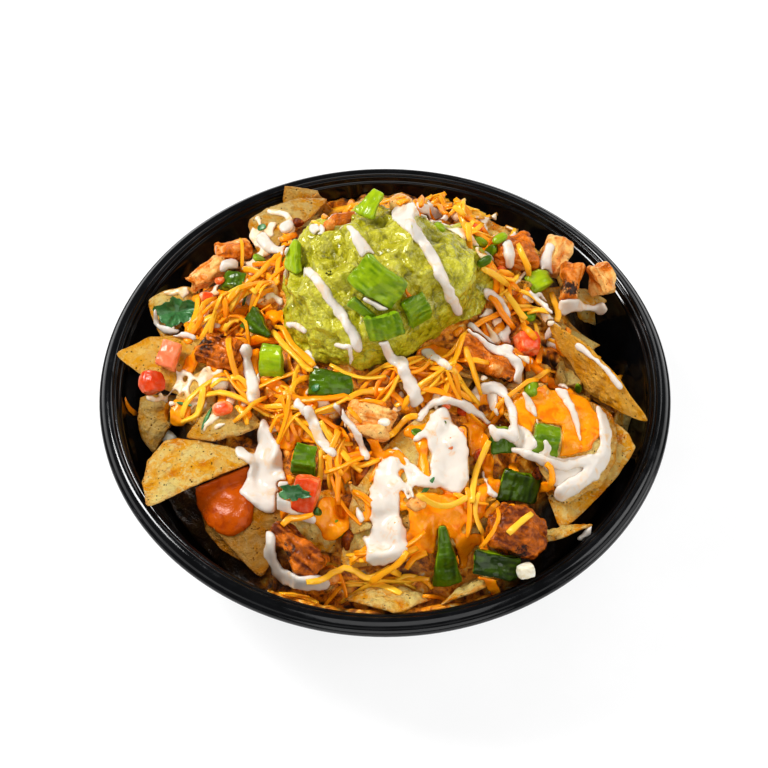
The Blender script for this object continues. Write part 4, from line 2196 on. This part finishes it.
SAUCE_SHAPES: tuple[Stripe | Pool, ...] = (
    Pool(((268, 408), (284, 398), (304, 404), (306, 430), (298, 448), (280, 446)), 1.5, 7),
    Pool(((322, 430), (338, 424), (352, 432), (352, 456), (330, 456)), 1.4, 6),
    Pool(((160, 402), (178, 396), (196, 404), (192, 424), (170, 428)), 1.5, 6),
    Pool(((412, 350), (432, 342), (458, 350), (464, 372), (446, 390), (420, 388)), 1.4, 7),
    Pool(((508, 396), (540, 386), (572, 388), (596, 404), (602, 430), (590, 450), (560, 460), (530, 456),
          (512, 430)), 1.2, 8),
    Stripe(((530, 488), (560, 486), (580, 480)), 5, 5, 1.1),
    Pool(((380, 448), (402, 446), (408, 470), (392, 482), (382, 470)), 1.4, 6),
    Stripe(((420, 436), (424, 460), (426, 480)), 7, 6, 1.2),
    Pool(((456, 420), (478, 424), (492, 440), (484, 458), (464, 456)), 1.2, 7),
    Pool(((404, 496), (430, 490), (462, 498), (466, 530), (440, 548), (412, 544)), 1.6, 7),
    Pool(((312, 500), (330, 494), (352, 502), (350, 532), (328, 542), (314, 528)), 1.4, 6),
    Stripe(((206, 330), (214, 360), (220, 392)), 7, 8, 1.2),
    Stripe(((268, 380), (300, 396), (336, 398)), 7, 7, 1.2),
    Stripe(((430, 392), (470, 400), (500, 396)), 7, 7, 1.2),
    Stripe(((500, 350), (530, 362), (548, 380)), 6, 6, 1.2),
)

LEFT_POOL = (
    Pool(((194, 488), (199, 514), (214, 533), (232, 539), (246, 532), (254, 518), (256, 500), (252, 466),
          (236, 462), (200, 474)), 1.8, 12),
)

NAMED_SHREDS: tuple[Path, ...] = (
    ((222, 364), (223, 344), (226, 328), (236, 322), (246, 330), (251, 345)),
    ((420, 194), (422, 201), (421, 209)),
    ((398, 206), (410, 199), (420, 204)),
    ((426, 196), (436, 204), (446, 214)),
    ((453, 212), (465, 221)),
    ((468, 227), (469, 242), (470, 255)),
    ((518, 245), (524, 262), (529, 277)),
    ((280, 243), (290, 237), (300, 238), (311, 244)),
    ((272, 332), (288, 354), (311, 371)),
    ((276, 328), (294, 350), (314, 366)),
    ((123, 399), (129, 412), (137, 416), (151, 413), (157, 397)),
    ((204, 391), (201, 409), (198, 421), (183, 433)),
    ((266, 398), (250, 412), (234, 423)),
    ((481, 275), (494, 282), (508, 286)),
    ((489, 298), (502, 316), (514, 332)),
    ((506, 294), (516, 310), (526, 322)),
    ((522, 326), (530, 334), (536, 340)),
    ((546, 334), (540, 350), (538, 366)),
    ((561, 330), (559, 348), (550, 360)),
    ((465, 348), (472, 372), (481, 397)),
    ((390, 439), (404, 427), (417, 417)),
    ((489, 445), (473, 481), (472, 506)),
    ((508, 536), (528, 516), (555, 502)),
    ((485, 518), (498, 504)),
    ((546, 465), (554, 481), (548, 498)),
    ((307, 589), (323, 580), (347, 578), (367, 584), (400, 576)),
    ((321, 548), (325, 574), (333, 595)),
    ((370, 585), (400, 570), (423, 560)),
    ((406, 578), (418, 566), (427, 554)),
    ((461, 528), (466, 550), (469, 570)),
    ((282, 526), (296, 522), (313, 518)),
    ((425, 601), (445, 598), (465, 594)),
)


BACK_MELT = Zone((385, 400), (200, 120), 46, lengths=(10, 26))
BACK_CREAM = Zone((385, 400), (200, 120), 22, lengths=(12, 34))
BACK_DRIZZLE = (
    Stripe(((330, 290), (340, 330), (352, 380)), 5, 6),
    Stripe(((400, 280), (404, 330), (420, 390)), 6, 5),
    Stripe(((450, 300), (470, 350), (474, 400)), 4, 5),
)


@dataclass(frozen=True)
class Nachos:
    """The whole dish, built in the order in which its pieces lie on each other."""

    view: PictureView = PictureView()
    covers: tuple[tuple[str, float], ...] = (
        ("chicken", 0.06), ("pepper", 0.0), ("tomato", 0.04), ("onion", 0.0), ("leaf", 0.05),
        ("guacamole", 0.0),
    )

    def build(self) -> None:
        """Builds every piece."""
        relief = Relief(self.view)
        bowl = Bowl()
        bowl.build()
        relief.start_in(bowl)
        HeapCore(bowl).build(relief)
        nodes = sorted(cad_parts)
        for seed, node in enumerate(name for name in nodes if name.startswith("chip_")):
            Chip(node, seed).build(relief)
        showing = self.showing(nodes)
        fillings = Fillings(relief, showing)
        fillings.scattered()
        Fillings(relief, showing, random.Random(47), fillings.bags).hidden_shards()
        Guacamole().build(relief, self.view)
        self.morsels(relief, nodes)
        draw = random.Random(31)
        self.sauces(relief, showing, draw)
        fillings.named()
        under = Shredder(relief, showing)
        for zone in SHRED_ZONES:
            under.scatter(zone)
        placed(under.bag.piece("cheese_shreds_lower", CHEESE))
        behind = Shredder(relief, showing, draw=random.Random(12))
        behind.hidden()
        placed(behind.bag.piece("cheese_shreds_back", CHEESE))
        clean = showing.outlines_of(
            ("pepper", "tomato", "leaf", "onion"), ("pepper_creamy", "pepper_ring_piece")
        )
        thin = [shape for shape in CREAM_SHAPES if shape.depth < THICK_CREAM]
        thick = [shape for shape in CREAM_SHAPES if shape not in thin]
        Pour("cream_pools", THIN_CREAM, thin, clean, ragged=2.8).build(relief)
        Pour("cream_drizzle", CREAM, thick, clean).build(relief)
        over = Shredder(relief, showing, draw=random.Random(9))
        for path in NAMED_SHREDS:
            over.named(path)
        placed(over.bag.piece("cheese_shreds_upper", CHEESE))
        fillings.finish()
        self.far_side(relief, draw)

    def sauces(self, relief: Relief, showing: Showing, draw: random.Random) -> None:
        """Pours the cheese sauce and the thin smears of cream that lie under the shreds.

        Args:
            relief: the food so far.
            showing: the pieces that show.
            draw: the random numbers.
        """
        bare = showing.outlines_of(("pepper", "tomato", "leaf", "onion", "guacamole", "chicken"))
        sauce = [run for zone in SAUCE_ZONES for run in zone.smears(draw, (4, 8), 1.1)]
        Pour("cheese_sauce_pools", SAUCE, (*SAUCE_SHAPES, *sauce), bare, ragged=2.2).build(relief)
        Pour(
            "cheese_left_pool", AMBER, LEFT_POOL, [*bare, showing.named["chip_left_big"]],
            ragged=1.6, rounds=70, drop=14 * MM, longest_fall=9 * MM,
        ).build(relief)
        cream = [run for zone in CREAM_ZONES for run in zone.smears(draw, (1.5, 5), 1.0)]
        Pour("cream_smears", MILKY, cream, bare, ragged=2.2).build(relief)

    def far_side(self, relief: Relief, draw: random.Random) -> None:
        """Pours cheese and cream where the picture doesn't show the heap, as seen from behind."""
        relief.view = PictureView(facing=Facing.BACK)
        melted = BACK_MELT.smears(draw, (4, 9), 1.2)
        scoop = convex(relief.view.pixels(welded("guacamole")[0]))
        Pour("cheese_sauce_back", SAUCE, melted, [scoop], unseen_by=self.view).build(relief)
        cream = (*BACK_DRIZZLE, *BACK_CREAM.smears(draw, (3, 7), 1.4))
        Pour("cream_back", CREAM, cream, unseen_by=self.view).build(relief)

    def showing(self, nodes: Sequence[str]) -> Showing:
        """The named pieces, and how much of what is loose may lie on each kind."""
        made = Showing(self.view)
        covers = dict(self.covers)
        for node in nodes:
            kind = node.split("_")[0]
            if kind in covers:
                made.add(node, covers[kind])
            elif kind == "chip":
                made.add(node, CHIP_COVERS[node[5:]])
        return made

    def morsels(self, relief: Relief, nodes: Sequence[str]) -> None:
        """Builds the chicken, pepper, tomato, onion and leaves that have nodes of their own."""
        kinds: dict[str, tuple[Finish, str, dict[str, Any]]] = {
            "chicken": (CHICKEN, "chicken", {
                "voxel": 0.5 * MM, "rounds": 10, "rough": (2.1 * MM, 1.3 * MM), "char": 0.35,
                "rough_sizes": (10 * MM, 3.6 * MM), "rib": 0.5 * MM, "rib_size": 1.6 * MM,
                "rib_stretch": 0.2}),
            "pepper": (PEPPER, "green_pepper", {
                "rounds": 14, "rib": 0.16 * MM, "rib_stretch": 0.2, "rough": (0.9 * MM, 0.2 * MM),
                "rough_sizes": (7 * MM, 2 * MM)}),
            "tomato": (TOMATO, "tomato", {"rough": (0.4 * MM, 0.15 * MM)}),
            "onion": (ONION, "onion", {}),
            "leaf": (HERB, "cilantro", {"voxel": 0.3 * MM, "rounds": 1, "lobes": 0.13}),
        }
        smoother = {"rough": (1.6 * MM, 1.0 * MM), "char": 0.2, "rib": 0.15 * MM, "rounds": 16}
        for seed, node in enumerate(nodes):
            kind = node.split("_")[0]
            if kind not in kinds:
                continue
            finish, slot, extra = kinds[kind]
            if node.startswith("chicken_edge"):
                extra = {**extra, **smoother}
            tone = TONES.get(node, (seed * 0.37) % 1)
            piece = Morsel(node, finish, slot, seed, tone=tone, char_pixel=CHARRED.get(node), **extra)
            piece.build(relief, self.view)


def main() -> None:
    """Builds the bowl and its food, then the floor, lights and camera."""
    logging.basicConfig(level=logging.INFO, format="%(name)s %(message)s")
    nachos = Nachos()
    nachos.build()
    Studio().build()
    nachos.view.add_camera()
    bpy.context.scene.view_settings.view_transform = "Standard"
    bpy.context.scene.view_settings.look = "Medium High Contrast"


if __name__ == "__main__":
    main()
